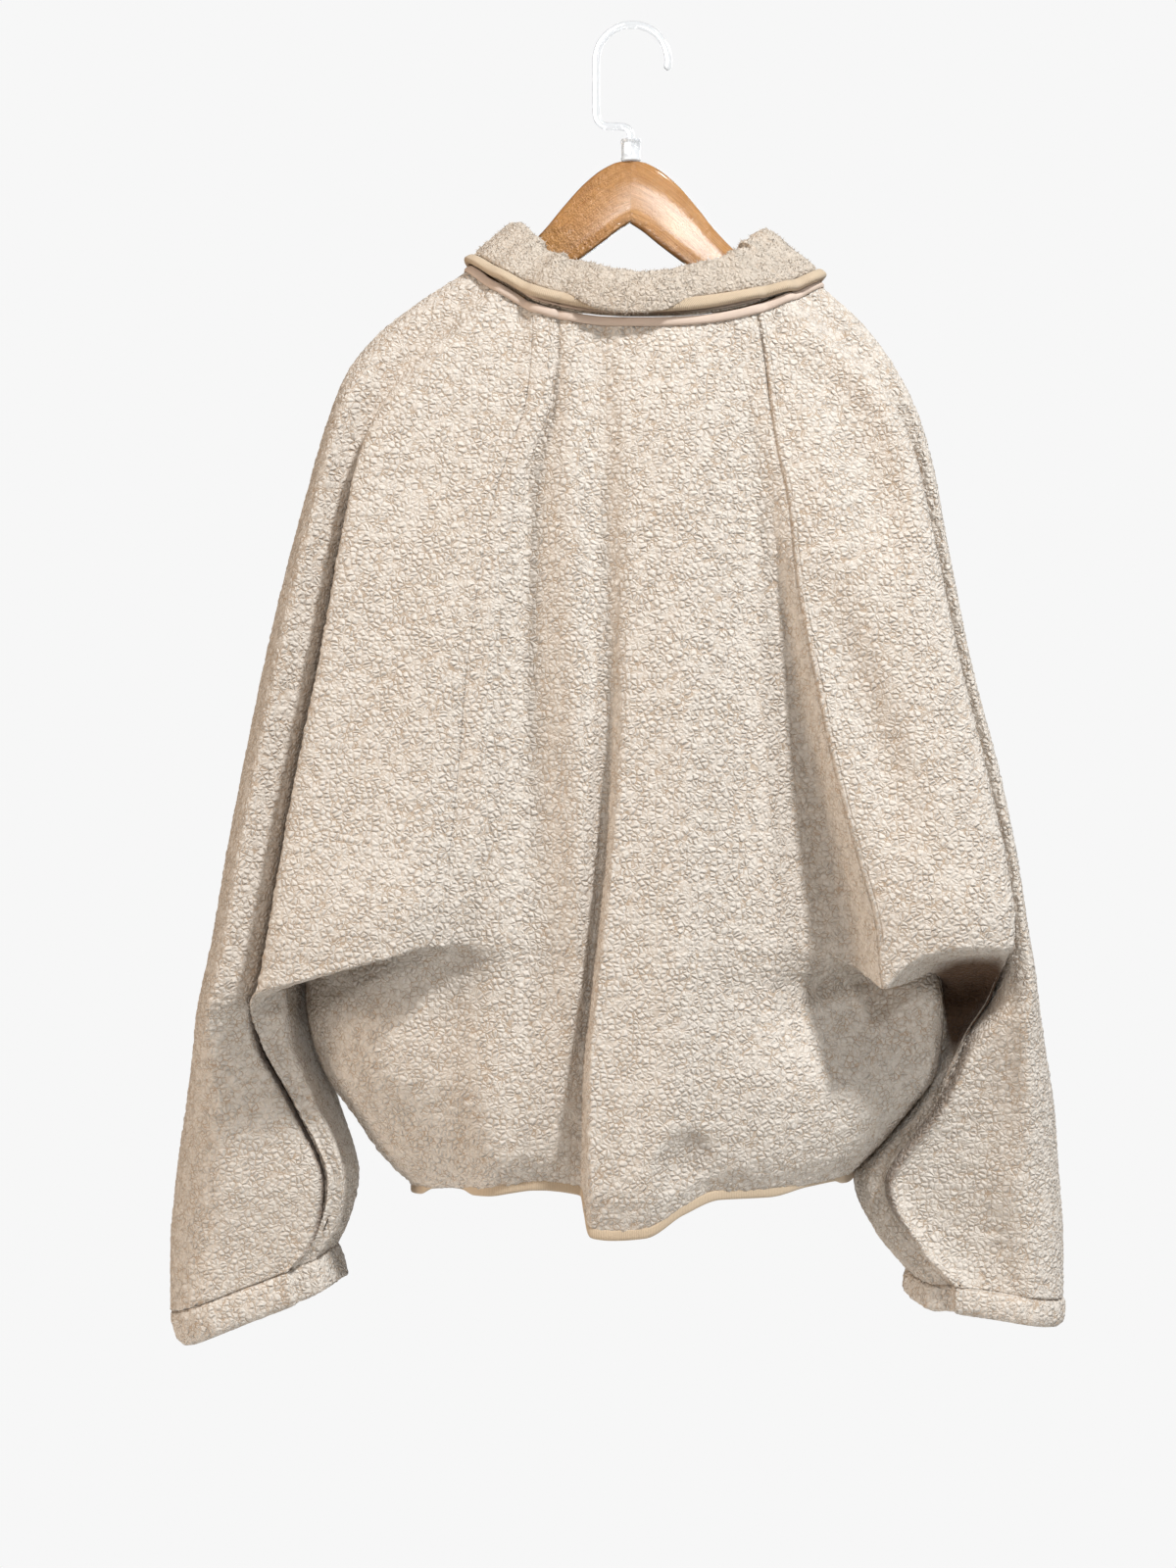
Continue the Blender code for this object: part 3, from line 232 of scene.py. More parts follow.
def sleeve(table, levels, across, lip):
    """Outer surface of a sleeve in millimetres. Levels run 0 to 17 down it, and across runs
    0 to 12 from the back seam over the outside to the front seam."""
    rows = pchip(range(LEVELS), table, levels)
    c = dict(zip(SLEEVE_COLUMNS, rows.T))
    edge_y = lerp(c["drape_y"], c["lobe_y"], 0.35)
    floor_y = c["lobe_y"] + c["crease"] - 2
    reach = c["outer_x"] - c["edge_x"]
    side = np.sign(reach)
    lip_step = np.minimum(7.0, 0.3 * np.abs(reach)) * side
    levels = np.asarray(levels, float)
    curve = 1 + (lip - 1) * np.clip((levels - 7) / 2, 0, 1)
    nose = 0.75 - 0.35 * np.clip((levels - UNDERARM) / 0.5, 0, 1)
    points = []

    def add(x, y, z):
        points.append(np.stack([x, y, z], axis=1))

    def from_seam(share, y):
        x = lerp(c["seam_x"], c["edge_x"], share)
        add(x, y, lerp(c["seam_z"], c["edge_z"], 1 - (1 - share) ** curve))

    def from_edge(share, y, x=None):
        x = lerp(c["edge_x"], c["outer_x"], share) if x is None else x
        add(x, y, lerp(c["edge_z"], c["outer_z"], (x - c["edge_x"]) / reach))

    def to_front(share, y, across_share=None):
        x_share = share if across_share is None else across_share
        x = lerp(c["outer_x"], c["front_x"], x_share)
        add(x, y, lerp(c["outer_z"], c["front_z"], share))

    from_seam(0.0, c["seam_y"])
    from_seam(0.18, lerp(c["seam_y"], c["drape_y"], nose))
    from_seam(0.5, c["drape_y"])
    from_seam(0.86, lerp(c["drape_y"], edge_y, 0.25))
    from_seam(1.0, edge_y)
    from_edge(0.12, floor_y, c["edge_x"] + 0.15 * lip_step)
    from_edge(0.3, lerp(c["lobe_y"], floor_y, 0.3), c["edge_x"] + lip_step)
    from_edge(0.6, c["lobe_y"])
    from_edge(0.92, lerp(c["lobe_y"], c["outer_y"], 0.4))
    from_edge(1.0, c["outer_y"])
    to_front(0.12, lerp(c["outer_y"], c["chest_y"], 0.7), 0.08)
    to_front(0.42, c["chest_y"])
    to_front(0.8, lerp(c["chest_y"], c["front_y"], 0.4))
    to_front(1.0, c["front_y"])
    grid = pchip(SLEEVE_KNOTS, np.stack(points), across).transpose(1, 0, 2)
    across = np.asarray(across)
    back_side = np.clip((8 - across) / 2, 0, 1) * np.clip(across / 1.5, 0, 1)
    above = np.clip((UNDERARM - 1.5 - np.asarray(levels)) / 2, 0, 1)
    grid[..., 1] += fold_depth(grid[..., 0], grid[..., 2]) * back_side[None, :] * above[:, None]
    return grid


def trunk_line(name, levels):
    """The trunk's line of that name at the given levels, as points."""
    first = TRUNK_COLUMNS.index(name + "_x")
    return pchip(range(LEVELS), TRUNK, levels)[:, first:first + 3]


def trunk_column(name, levels):
    """The trunk's column of that name at the given levels."""
    return pchip(range(LEVELS), TRUNK, levels)[:, TRUNK_COLUMNS.index(name)]


def side_lines(levels, first):
    """Left and right edges of the trunk's panels: the raglan seam, read from the sleeve's
    columns that start at first, and the side seam below the underarm."""
    above = (np.asarray(levels) <= UNDERARM)[:, None]
    sides = []
    for table, name in ((LEFT_SLEEVE, "left"), (RIGHT_SLEEVE, "right")):
        upper = np.array(table, float)[:, first:first + 3]
        lower = trunk_line(name, range(LEVELS))
        seam = pchip(range(LEVELS), upper, levels)
        side = pchip(range(UNDERARM, LEVELS), lower[UNDERARM:], np.maximum(levels, UNDERARM))
        sides.append(np.where(above, seam, side))
    return sides


def hem_drop(x):
    """The hem hangs lowest under the middle lobe."""
    lobe = ease((x + 35.0) / 8.0) * (1 - ease((x + 2.0) / 56.0))
    return 24.0 * lobe - 5.0 * np.exp(-(((x + 62.0) / 26.0) ** 2))


def back(levels, across):
    """Outer surface of the back panel. Across runs 0 to 13 from left to right."""
    levels = np.asarray(levels, float)
    across = np.asarray(across, float)
    left, right = side_lines(levels, SLEEVE_COLUMNS.index("seam_x"))
    centre = trunk_column("back_y", levels)
    middle_z = trunk_column("back_z", levels)
    tops = [-h for h in RIDGE_HEIGHTS]
    paths = np.stack([pchip(tops, path, -middle_z) for _, path, _ in RIDGES], axis=1)
    out = np.stack([pchip(tops, relief, -middle_z) for _, _, relief in RIDGES], axis=1)
    grid = np.zeros((len(levels), len(across), 3))
    for i, level in enumerate(levels):
        xs = np.concatenate([[left[i, 0]], paths[i], [right[i, 0]]])
        for k in range(1, len(xs) - 1):
            xs[k] = max(xs[k], xs[k - 1] + (BESIDE_SEAM if k == 1 else RIDGE_SPACE))
        for k in range(len(xs) - 2, 0, -1):
            xs[k] = min(xs[k], xs[k + 1] - (BESIDE_SEAM if k == len(xs) - 2 else RIDGE_SPACE))
        relief = np.concatenate([[0.0], out[i], [0.0]])
        x = pchip(BACK_KNOTS, xs, across)
        bump = pchip(BACK_KNOTS, relief, across)
        t = (x - left[i, 0]) / (right[i, 0] - left[i, 0])
        s = np.abs(2 * t - 1)
        round_power = 0.6 + 0.15 * math.exp(-(((level - UNDERARM) / 1.5) ** 2))
        rise = np.clip(1 - s**2.8, 0, 1) ** round_power
        edge = lerp(left[i, 1], right[i, 1], t)
        y = lerp(edge, centre[i], rise) - bump
        flat_part = 4 + 14 * math.exp(-(((level - UNDERARM) / 0.8) ** 2)) if level > 4 else 2.5
        z = lerp(lerp(left[i, 2], right[i, 2], t), middle_z[i], 1 - s**flat_part)
        low = np.clip((level - UNDERARM - 1.0) / (LEVELS - 2.0 - UNDERARM), 0, 1)
        z = z - low**1.5 * hem_drop(x) * (1 - s**6)
        grid[i] = np.stack([x, y, z], axis=1)
    fade = np.clip((UNDERARM - 1.5 - levels) / 2, 0, 1)[:, None]
    near = np.clip(np.minimum(across, 13 - across), 0, 1)[None, :]
    grid[..., 1] += fold_depth(grid[..., 0], grid[..., 2]) * fade * near
    return grid


def front(side, levels, across):
    """Outer surface of a front. Across runs 0 to 1 from the side to the zip."""
    levels = np.asarray(levels, float)
    across = np.asarray(across, float)
    left, right = side_lines(levels, SLEEVE_COLUMNS.index("front_x"))
    edge = left if side < 0 else right
    chest = trunk_column("chest_y", levels)
    zip_x, zip_y, zip_z = trunk_line("zip", levels).T
    grid = np.zeros((len(levels), len(across), 3))
    for i, level in enumerate(levels):
        x = lerp(edge[i, 0], zip_x[i] + side * ZIP_HALF_WIDTH, across)
        power = 0.5 if level > UNDERARM - 1 else 0.8
        rise = np.clip(1 - (1 - across) ** 2.6, 0, 1) ** power
        target = lerp(chest[i], zip_y[i], across**3)
        soft = 3.0 * np.sin(across * 2.4 * math.pi) * min(1.0, level / 6.0) * (1 - across**4)
        y = lerp(edge[i, 1], target, rise) - soft
        z = lerp(edge[i, 2], zip_z[i], across**1.6 if level < 3 else across)
        grid[i] = np.stack([x, y, z], axis=1)
    return grid


# Each panel's surface and the range that runs across it, in the order that faces outward.
PANELS = {
    "sleeve_left": (lambda levels, across: sleeve(LEFT_SLEEVE, levels, across, LEFT_LIP), 12, 0),
    "sleeve_right": (lambda levels, across: sleeve(RIGHT_SLEEVE, levels, across, RIGHT_LIP), 0, 12),
    "back": (back, 0, 13),
    "front_left": (lambda levels, across: front(-1, levels, across), 1, 0),
    "front_right": (lambda levels, across: front(1, levels, across), 0, 1),
}
UNDERARMS = [np.array(table[UNDERARM][:3], float) for table in (LEFT_SLEEVE, RIGHT_SLEEVE)]


def cloth_thickness(points, wall):
    """The cloth's thickness, pressed thinner under the arms."""
    apart = [np.linalg.norm(points - place, axis=-1, keepdims=True) for place in UNDERARMS]
    return wall * np.clip(0.3 + (np.minimum(*apart) - 50.0) / 80.0, 0.3, 1.0)


def grid_normals(grid):
    """Outward normals of a grid whose rows run down and whose columns run to the right."""
    return unit(np.cross(np.gradient(grid, axis=0), np.gradient(grid, axis=1)))


def arc_lengths(points, axis):
    """Distance along each row or column of a grid, from its start."""
    steps = np.linalg.norm(np.diff(points, axis=axis), axis=-1)
    pad = [(0, 0)] * steps.ndim
    pad[axis] = (1, 0)
    return np.cumsum(np.pad(steps, pad), axis=axis)


def even_steps(shape, other, first, last, spacing, axis):
    """Parameters from first to last along an axis that leave about the same distance between
    points. The other axis has its own range."""
    dense = np.linspace(first, last, 240)
    sparse = np.linspace(*other, 60)
    grid = shape(dense, sparse) if axis == 0 else shape(sparse, dense)
    length = arc_lengths(grid, axis).mean(axis=1 - axis)
    count = max(3, round(length[-1] / spacing))
    return np.interp(np.linspace(0, length[-1], count + 1), length, dense)


def refine(steps, cuts):
    """The steps with the given number of parts between each two."""
    at = np.arange((len(steps) - 1) * cuts + 1) / cuts
    return np.interp(at, np.arange(len(steps)), steps)


def cell_distances(points, size, seed):
    """Distances from each point to the nearest and second nearest of a field of scattered
    centres, in cells, and a random share for the nearest one."""
    place = points / np.asarray(size, float)
    base = np.floor(place).astype(np.int64)
    near = np.full(len(place), 9.0)
    second = np.full(len(place), 9.0)
    share = np.zeros(len(place))
    for dx in (-1, 0, 1):
        for dy in (-1, 0, 1):
            for dz in (-1, 0, 1):
                cell = base + (dx, dy, dz)
                mixed = (cell * (73856093, 19349663, 83492791)).sum(axis=1) + seed * 7919
                mixed = (mixed ^ (mixed >> 13)) * 1274126177
                parts = [((mixed >> shift) & 1023) / 1023.0 for shift in (3, 11, 19)]
                centre = cell + 0.1 + 0.8 * np.stack(parts, axis=1)
                apart = np.linalg.norm(centre - place, axis=1)
                closer = apart < near
                second = np.where(closer, near, np.minimum(second, apart))
                share = np.where(closer, parts[0], share)
                near = np.where(closer, apart, near)
    return near, second, share


def pile_lumps(grid, size, seed=0):
    """Relief of curled pile over a grid of points, from 0 in the cracks to 1 on the lumps."""
    near, second, share = cell_distances(grid.reshape(-1, 3), size, seed)
    lumps = np.sqrt(np.clip((second - near) * 2.0, 0, 1)) * (0.7 + 0.3 * share)
    return lumps.reshape(grid.shape[:-1])


class Signal:
    """A socket of a material that can be used in sums like a number."""

    def __init__(self, paint, socket):
        self.paint = paint
        self.socket = socket

    def combine(self, operation, *others):
        values = (self,) + others
        return self.paint.node("Math", {"operation": operation}, dict(enumerate(values)))[0]

    def __add__(self, other):
        return self.combine("ADD", other)

    __radd__ = __add__

    def __sub__(self, other):
        return self.combine("SUBTRACT", other)

    def __rsub__(self, other):
        return (self * -1.0).combine("ADD", other)

    def __mul__(self, other):
        return self.combine("MULTIPLY", other)

    __rmul__ = __mul__

    def wave(self, pitch):
        """From 0 to 1 and back once in each pitch."""
        return (self * (2 * math.pi / pitch)).combine("SINE") * 0.5 + 0.5

    def within(self, low, high):
        """0 below low, 1 above high and smooth between them."""
        settings = {"interpolation_type": "SMOOTHSTEP", "clamp": True}
        sockets = {"Value": self, "From Min": low, "From Max": high}
        return self.paint.node("MapRange", settings, sockets)["Result"]


class Outputs:
    """The outputs of a node, by name or number, each as a Signal."""

    def __init__(self, paint, node):
        self.paint = paint
        self.node = node

    def __getitem__(self, key):
        return Signal(self.paint, self.node.outputs[key])


class Paint:
    """A material in the making."""

    def __init__(self, name, **fixed):
        self.material = bpy.data.materials.new(name)
        self.material.use_nodes = True
        self.tree = self.material.node_tree
        self.tree.nodes.clear()
        output = self.tree.nodes.new("ShaderNodeOutputMaterial")
        self.shader = self.tree.nodes.new("ShaderNodeBsdfPrincipled")
        self.tree.links.new(self.shader.outputs[0], output.inputs[0])
        for socket, value in fixed.items():
            label = socket.replace("_", " ").title().replace("Ior", "IOR")
            self.shader.inputs[label].default_value = value

    def node(self, kind, settings=None, sockets=None):
        """Adds a node: its settings first, then the values or links of its sockets."""
        made = self.tree.nodes.new("ShaderNode" + kind)
        for key, value in (settings or {}).items():
            setattr(made, key, value)
        for key, value in (sockets or {}).items():
            if isinstance(value, Signal):
                self.tree.links.new(value.socket, made.inputs[key])
            else:
                made.inputs[key].default_value = value
        return Outputs(self, made)

    def place(self, stretch=(1, 1, 1)):
        """Object coordinates, multiplied along each axis."""
        return self.stretched(self.node("TexCoord")["Object"], stretch)

    def stretched(self, point, stretch):
        return self.node("VectorMath", {"operation": "MULTIPLY"}, {0: point, 1: stretch})[0]

    def moved(self, point, push):
        return self.node("VectorMath", {"operation": "ADD"}, {0: point, 1: push})[0]

    def noise(self, point, scale, detail=2.0, rough=0.5, output="Fac"):
        sockets = {"Vector": point, "Scale": scale, "Detail": detail, "Roughness": rough}
        return self.node("TexNoise", {}, sockets)[output]

    def crack_distance(self, point, scale, randomness=1.0):
        """Distance to the nearest crack between cells, in cells."""
        settings = {"feature": "DISTANCE_TO_EDGE"}
        sockets = {"Vector": point, "Scale": scale, "Randomness": randomness}
        return self.node("TexVoronoi", settings, sockets)["Distance"]

    def attribute(self, name):
        return self.node("Attribute", {"attribute_name": name})["Fac"]

    def blend(self, share, first, second):
        """A colour between two others."""
        first = (*first, 1.0) if isinstance(first, tuple) else first
        second = (*second, 1.0) if isinstance(second, tuple) else second
        return self.node("Mix", {"data_type": "RGBA"}, {0: share, 6: first, 7: second})[2]

    def feed(self, socket, value):
        self.tree.links.new(value.socket, self.shader.inputs[socket])

    def bump(self, height, distance):
        sockets = {"Height": height, "Distance": distance}
        self.feed("Normal", self.node("Bump", {}, sockets)["Normal"])


def tone(colour, factor):
    """The same colour made darker or lighter."""
    return tuple(min(1.0, channel * factor) for channel in colour)


def tint(colour, factors):
    """The colour with each of its channels turned down by its own factor."""
    return tuple(channel * factor for channel, factor in zip(colour, factors))


# What a fleece colour turns to in the shade painted into the cracks of the pile, and a wood colour in its
# grain.
CRACK_SHADE = (0.60, 0.49, 0.39)
GRAIN_TINT = (0.58, 0.46, 0.34)
# Colour of deep shade in a fold.
HOLLOW_COLOUR = (0.10, 0.055, 0.03)
# Depth of the pile in its material, in metres.
FLEECE_RELIEF = 0.0011


def fleece_paint(name, colour, curl, collar=False):
    """Curled pile: soft pebbles with thin cracks between them and a fine nap over them."""
    paint = Paint(name, roughness=0.95, sheen_weight=0.08, sheen_roughness=0.5, specular_ior_level=0.1)
    point = paint.place((1.0, 1.0, 0.9) if collar else (1.0, 1.0, 1.1))
    drift = paint.noise(point, 0.6 / curl, 1.0, 0.5, "Color")
    warped = paint.moved(point, paint.stretched(drift, (curl * 0.9,) * 3))
    crack = paint.crack_distance(warped, 1.0 / curl, 0.9)
    fine_crack = paint.crack_distance(warped, 1.8 / curl)
    open_crack = paint.noise(point, 0.5 / curl, 2.0).within(0.34, 0.62)
    fibre = paint.noise(warped, 5.0 / curl, 3.0, 0.7)
    clump = paint.attribute("pile").within(0.0, 0.8)
    groove = paint.attribute("seam").within(0.0, 1.8)
    hollow = paint.attribute("hollow")
    patch = paint.noise(point, 9.0, 2.0).within(0.3, 0.7)
    deep = 0.45 if collar else 1.0
    # Painted shade: the colour darkens in the cracks between curls and between clumps and in each seam's
    # groove; the fibre adds a little random tone.
    thin = (crack.within(0.0, 0.12) - 1.0) * (open_crack * 0.55 * deep + 0.3 * deep)
    fine = (fine_crack.within(0.0, 0.2) - 1.0) * 0.16
    shade = thin + fine + fibre * 0.12 + 0.94
    shade = shade * (clump * 0.14 + 0.86) * (groove * 0.4 + 0.6)
    body = paint.blend(patch, tone(colour, 0.98), colour)
    pile = paint.blend(shade.within(-0.1, 1.05), tint(colour, CRACK_SHADE), body)
    # Painted shadow: where the hollow mark is high, the colour turns to the dark of deep shade in a fold.
    paint.feed("Base Color", paint.blend(hollow, pile, HOLLOW_COLOUR))
    pebble = (crack.within(0.0, 0.4) - 1.0) * (open_crack * 0.5 + 0.65)
    height = pebble + fine * 0.5 + fibre * (0.6 if collar else 0.15) + groove
    paint.bump(height, FLEECE_RELIEF)
    return paint.material


def binding_paint(colour):
    """Elastic tape with fine ribs across it."""
    paint = Paint("tan binding", roughness=0.78, sheen_weight=0.15, specular_ior_level=0.25)
    rib = paint.attribute("along").wave(1.1)
    weave = paint.noise(paint.place(), 900.0, 2.0)
    patch = paint.noise(paint.place(), 30.0, 2.0)
    shade = rib * 0.35 + weave * 0.35 + patch * 0.3
    paint.feed("Base Color", paint.blend(shade.within(0.15, 0.85), tone(colour, 0.82), tone(colour, 1.08)))
    paint.bump(rib * 0.6 + weave * 0.4, 0.00025)
    return paint.material


def woven_paint(name, colour, pitch=0.7):
    """Plain woven tape: threads along and across."""
    paint = Paint(name, roughness=0.7, sheen_weight=0.1, specular_ior_level=0.3)
    along = paint.attribute("along")
    across = paint.attribute("across")
    thread = along.wave(pitch) * 0.5 + across.wave(pitch) * 0.5
    patch = paint.noise(paint.place(), 40.0, 3.0)
    shade = thread * 0.4 + patch * 0.6
    paint.feed("Base Color", paint.blend(shade.within(0.2, 0.8), tone(colour, 0.9), tone(colour, 1.05)))
    paint.bump(thread * 0.4 + patch * 0.6, 0.0003)
    return paint.material


def plastic_paint(colour):
    """Satin moulded plastic with faint scuffs."""
    paint = Paint("zip plastic", specular_ior_level=0.5)
    speck = paint.noise(paint.place(), 600.0, 3.0)
    cloud = paint.noise(paint.place(), 60.0, 2.0)
    paint.feed("Base Color", paint.blend(cloud.within(0.3, 0.7), tone(colour, 0.92), tone(colour, 1.04)))
    paint.feed("Roughness", speck * 0.2 + 0.32)
    paint.bump(speck, 0.00005)
    return paint.material


def wood_paint(colour):
    """Honey-coloured wood under a thick, rippled varnish."""
    paint = Paint("varnished wood", coat_roughness=0.1, specular_ior_level=0.85)
    along = paint.attribute("along")
    point = paint.place()
    sockets = {"X": along * 0.9, "Y": paint.attribute("across") * 22.0}
    lines = paint.node("CombineXYZ", {}, sockets)["Vector"]
    grain = paint.noise(lines, 0.05, 5.0, 0.6)
    pore = paint.noise(lines, 0.35, 3.0, 0.6)
    cloud = paint.noise(point, 28.0, 2.0)
    shade = grain * 0.6 + pore * 0.2 + cloud * 0.2
    dark = tint(colour, GRAIN_TINT)
    paint.feed("Base Color", paint.blend(shade.within(0.34, 0.66), dark, tone(colour, 1.1)))
    ripple = paint.noise(paint.place(), 210.0, 2.0, 0.55)
    paint.feed("Roughness", ripple * 0.16 + 0.14)
    paint.feed("Coat Weight", cloud * 0.1 + 0.1)
    spark = paint.noise(paint.place(), 700.0, 2.0, 0.6)
    paint.bump(ripple * 2.2 + spark * 1.0 + pore * 0.5 + paint.attribute("camber"), 0.001)
    return paint.material


def ferrule_paint():
    """Cloudy plastic collar."""
    paint = Paint("cloudy plastic", ior=1.46, specular_ior_level=0.5, transmission_weight=0.6)
    cloud = paint.noise(paint.place(), 140.0, 3.0)
    paint.feed("Base Color", paint.blend(cloud.within(0.3, 0.7), (0.80, 0.82, 0.84), (0.93, 0.94, 0.95)))
    paint.feed("Roughness", cloud * 0.3 + 0.1)
    return paint.material


def clear_paint():
    """Clear bent rod."""
    paint = Paint("clear plastic", ior=1.47, transmission_weight=0.94)
    cloud = paint.noise(paint.place(), 90.0, 2.0)
    paint.feed("Base Color", paint.blend(cloud, (0.93, 0.95, 0.97), (0.98, 0.99, 1.0)))
    paint.feed("Roughness", cloud * 0.06 + 0.02)
    paint.bump(cloud, 0.0004)
    return paint.material


def floor_paint(colour):
    """Pale matte floor with faint mottling."""
    paint = Paint("pale floor", roughness=0.8)
    cloud = paint.noise(paint.place(), 3.0, 3.0)
    paint.feed("Base Color", paint.blend(cloud, tone(colour, 0.97), colour))
    return paint.material


def place_in(mesh, name, values):
    """Stores a number for each point of a mesh."""
    layer = mesh.attributes.new(name, "FLOAT", "POINT")
    layer.data.foreach_set("value", np.asarray(values, np.float32))


def read_from(mesh, name):
    values = np.zeros(len(mesh.vertices), np.float32)
    mesh.attributes[name].data.foreach_get("value", values)
    return values


def add_piece(name, mesh, material, body, node):
    """Makes the finished mesh a piece of the part in place of one of its nodes."""
    mesh.materials.append(material)
    piece = bpy.data.objects.new(name, mesh)
    bpy.context.scene.collection.objects.link(piece)
    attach(piece, body)
    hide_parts(node)
    return piece


def finished_mesh(bm, name, sharp=None):
    """Turns a bmesh into a mesh. It is smooth up to the angle of sharp, or left flat."""
    mesh = bpy.data.meshes.new(name)
    bm.to_mesh(mesh)
    bm.free()
    if sharp:
        mesh.shade_smooth()
        mesh.set_sharp_from_angle(angle=math.radians(sharp))
    return mesh


MARKS = ("row", "col", "outside")


def marked_grid(rows, cols):
    """A bmesh grid whose points know their row, column and side of the cloth."""
    bm = bmesh.new()
    row_mark, col_mark, side_mark = [bm.verts.layers.float.new(mark) for mark in MARKS]
    bmesh.ops.create_grid(bm, x_segments=cols - 1, y_segments=rows - 1, size=1.0)
    for vert in bm.verts:
        vert[col_mark] = round((vert.co.x + 1) / 2 * (cols - 1))
        vert[row_mark] = round((1 - vert.co.y) / 2 * (rows - 1))
        vert[side_mark] = 1.0
    return bm, row_mark, col_mark, side_mark


def take_marks(mesh, cuts=1):
    """Takes the marks off a mesh: the row and column of its points, and which are outside."""
    row, col, outside = [read_from(mesh, mark) for mark in MARKS]
    for mark in MARKS:
        mesh.attributes.remove(mesh.attributes[mark])
    return np.rint(row * cuts).astype(int), np.rint(col * cuts).astype(int), outside > 0.5


def cloth_wall(name, outer, inner, cuts):
    """A closed sheet of cloth. Its outside has every point of the outer grid, and its inside
    one for each given number of them."""
    rows = (outer.shape[0] - 1) // cuts + 1
    cols = (outer.shape[1] - 1) // cuts + 1
    bm, row_mark, col_mark, side_mark = marked_grid(rows, cols)
    grown = bmesh.ops.extrude_face_region(bm, geom=bm.faces[:], use_keep_orig=True)
    inside = {vert for vert in grown["geom"] if isinstance(vert, bmesh.types.BMVert)}
    for vert in bm.verts:
        grid = inner if vert in inside else outer
        vert.co = grid[round(vert[row_mark]) * cuts, round(vert[col_mark]) * cuts] * MM
        vert[side_mark] = 0.0 if vert in inside else 1.0
    bmesh.ops.recalc_face_normals(bm, faces=bm.faces)
    if cuts > 1:
        edges = [edge for edge in bm.edges if not any(vert in inside for vert in edge.verts)]
        bmesh.ops.subdivide_edges(bm, edges=edges, cuts=cuts - 1, use_grid_fill=True)
    mesh = finished_mesh(bm, name)
    row, col, outside = take_marks(mesh, cuts)
    points = np.where(outside[:, None], outer[row, col], inner[row, col]) * MM
    mesh.vertices.foreach_set("co", points.ravel())
    mesh.update()
    mesh.shade_smooth()
    return mesh, row, col, outside


def tube_wall(name, rings):
    """A tube lofted through rings of points, rows x around x 3, with closed ends."""
    rows, around = rings.shape[:2]
    bm, row_mark, col_mark, side_mark = marked_grid(rows, around + 1)
    for vert in bm.verts:
        vert.co = rings[round(vert[row_mark]), round(vert[col_mark]) % around] * MM
    last = {round(vert[row_mark]): vert for vert in bm.verts if round(vert[col_mark]) == around}
    first = {round(vert[row_mark]): vert for vert in bm.verts if round(vert[col_mark]) == 0}
    bmesh.ops.weld_verts(bm, targetmap={last[row]: first[row] for row in last})
    ends = [edge for edge in bm.edges if edge.is_boundary]
    bmesh.ops.holes_fill(bm, edges=ends, sides=0)
    bmesh.ops.recalc_face_normals(bm, faces=bm.faces)
    mesh = finished_mesh(bm, name, 60)
    row, col, _ = take_marks(mesh)
    return mesh, row, col


def rings_along(path, side, other, count):
    """Rings of points around a path, whose half widths point to the side and the other way."""
    turn = np.linspace(0, 2 * math.pi, count + 1)[:-1]
    cos = np.cos(turn)[None, :, None]
    sin = np.sin(turn)[None, :, None]
    return path[:, None] + cos * side[:, None] + sin * other[:, None]


def spread(counts):
    """Positions along a row of intervals, each split into its own number of steps."""
    places = [0.0]
    for start, count in enumerate(counts):
        places += [start + (k + 1) / count for k in range(count)]
    return np.array(places)


# Points across each panel where the collar, bindings and tapes are measured.
SLEEVE_STEPS = np.interp(spread((2, 2, 2, 2, 1, 1, 2, 2, 2, 2, 2, 2, 1)), range(14), SLEEVE_KNOTS)
BACK_STEPS = spread((3, 2, 2, 2, 2, 2, 2, 2, 2, 1, 1, 1, 3))
FRONT_STEPS = 1 - (1 - np.linspace(0, 1, 8)) ** 1.35
EDGE_STEPS = {
    "sleeve_left": SLEEVE_STEPS[::-1],
    "sleeve_right": SLEEVE_STEPS,
    "back": BACK_STEPS,
    "front_left": FRONT_STEPS[::-1],
    "front_right": FRONT_STEPS,
}


def edge_ring(names, levels, row):
    """One row of several panels joined end to end: its points, the outward directions and
    the next row's points."""
    points = []
    outward = []
    beyond = []
    for name in names:
        grid = PANELS[name][0](levels, EDGE_STEPS[name])
        normal = grid_normals(grid)
        start = 0 if not points else 1
        if points:
            outward[-1][-1] = unit(outward[-1][-1] + normal[row][0])
        points.append(grid[row][start:])
        outward.append(normal[row][start:].copy())
        beyond.append(grid[1 if row == 0 else row - 1][start:])
    return np.concatenate(points), np.concatenate(outward), np.concatenate(beyond)


def smooth_row(values, times):
    for _ in range(times):
        values[1:-1] = 0.25 * values[:-2] + 0.5 * values[1:-1] + 0.25 * values[2:]
    return values


def shares_along(points):
    """Each point's share of the way along a line, and the line's length."""
    length = arc_lengths(points, 0)
    return length / length[-1], length[-1]


# Along the neck seam from one front end to the other: the collar's lean inward in degrees,
# the height of its roll, how low the fall reaches, and the space between stand and fall.
COLLAR = [
    (0.00, 22, 30, 12, 4.0),
    (0.14, 24, 32, 11, 3.5),
    (0.22, 30, 37, 8, 3.5),
    (0.30, 43, 44, 5, 3.6),
    (0.42, 24, 38, 8, 3.4),
    (0.50, 10, 29, 7.5, 4.0),
    (0.61, 22, 38, 8, 3.4),
    (0.70, 45, 52, 2.0, 3.4),
    (0.75, 39, 48, 5, 3.5),
    (0.80, 30, 41, 8, 3.5),
    (0.87, 24, 32, 11, 3.5),
    (1.00, 22, 30, 12, 4.0),
]
NECK_PANELS = ("front_left", "sleeve_left", "back", "sleeve_right", "front_right")
HEM_PANELS = ("front_left", "back", "front_right")
COLLAR_WALL = 5.0
COLLAR_GAP = 0.8
# Height in which the collar's foot turns into the smoother line of its roll.
ROLL_BLEND = 12.0
# Where along the neck the roll sags over its binding, and how far to each side.
FLAP_MIDDLE = 0.487
FLAP_WIDTH = 0.06
BINDING_HEIGHT = 6.5
UP = np.array([0.0, 0.0, 1.0])


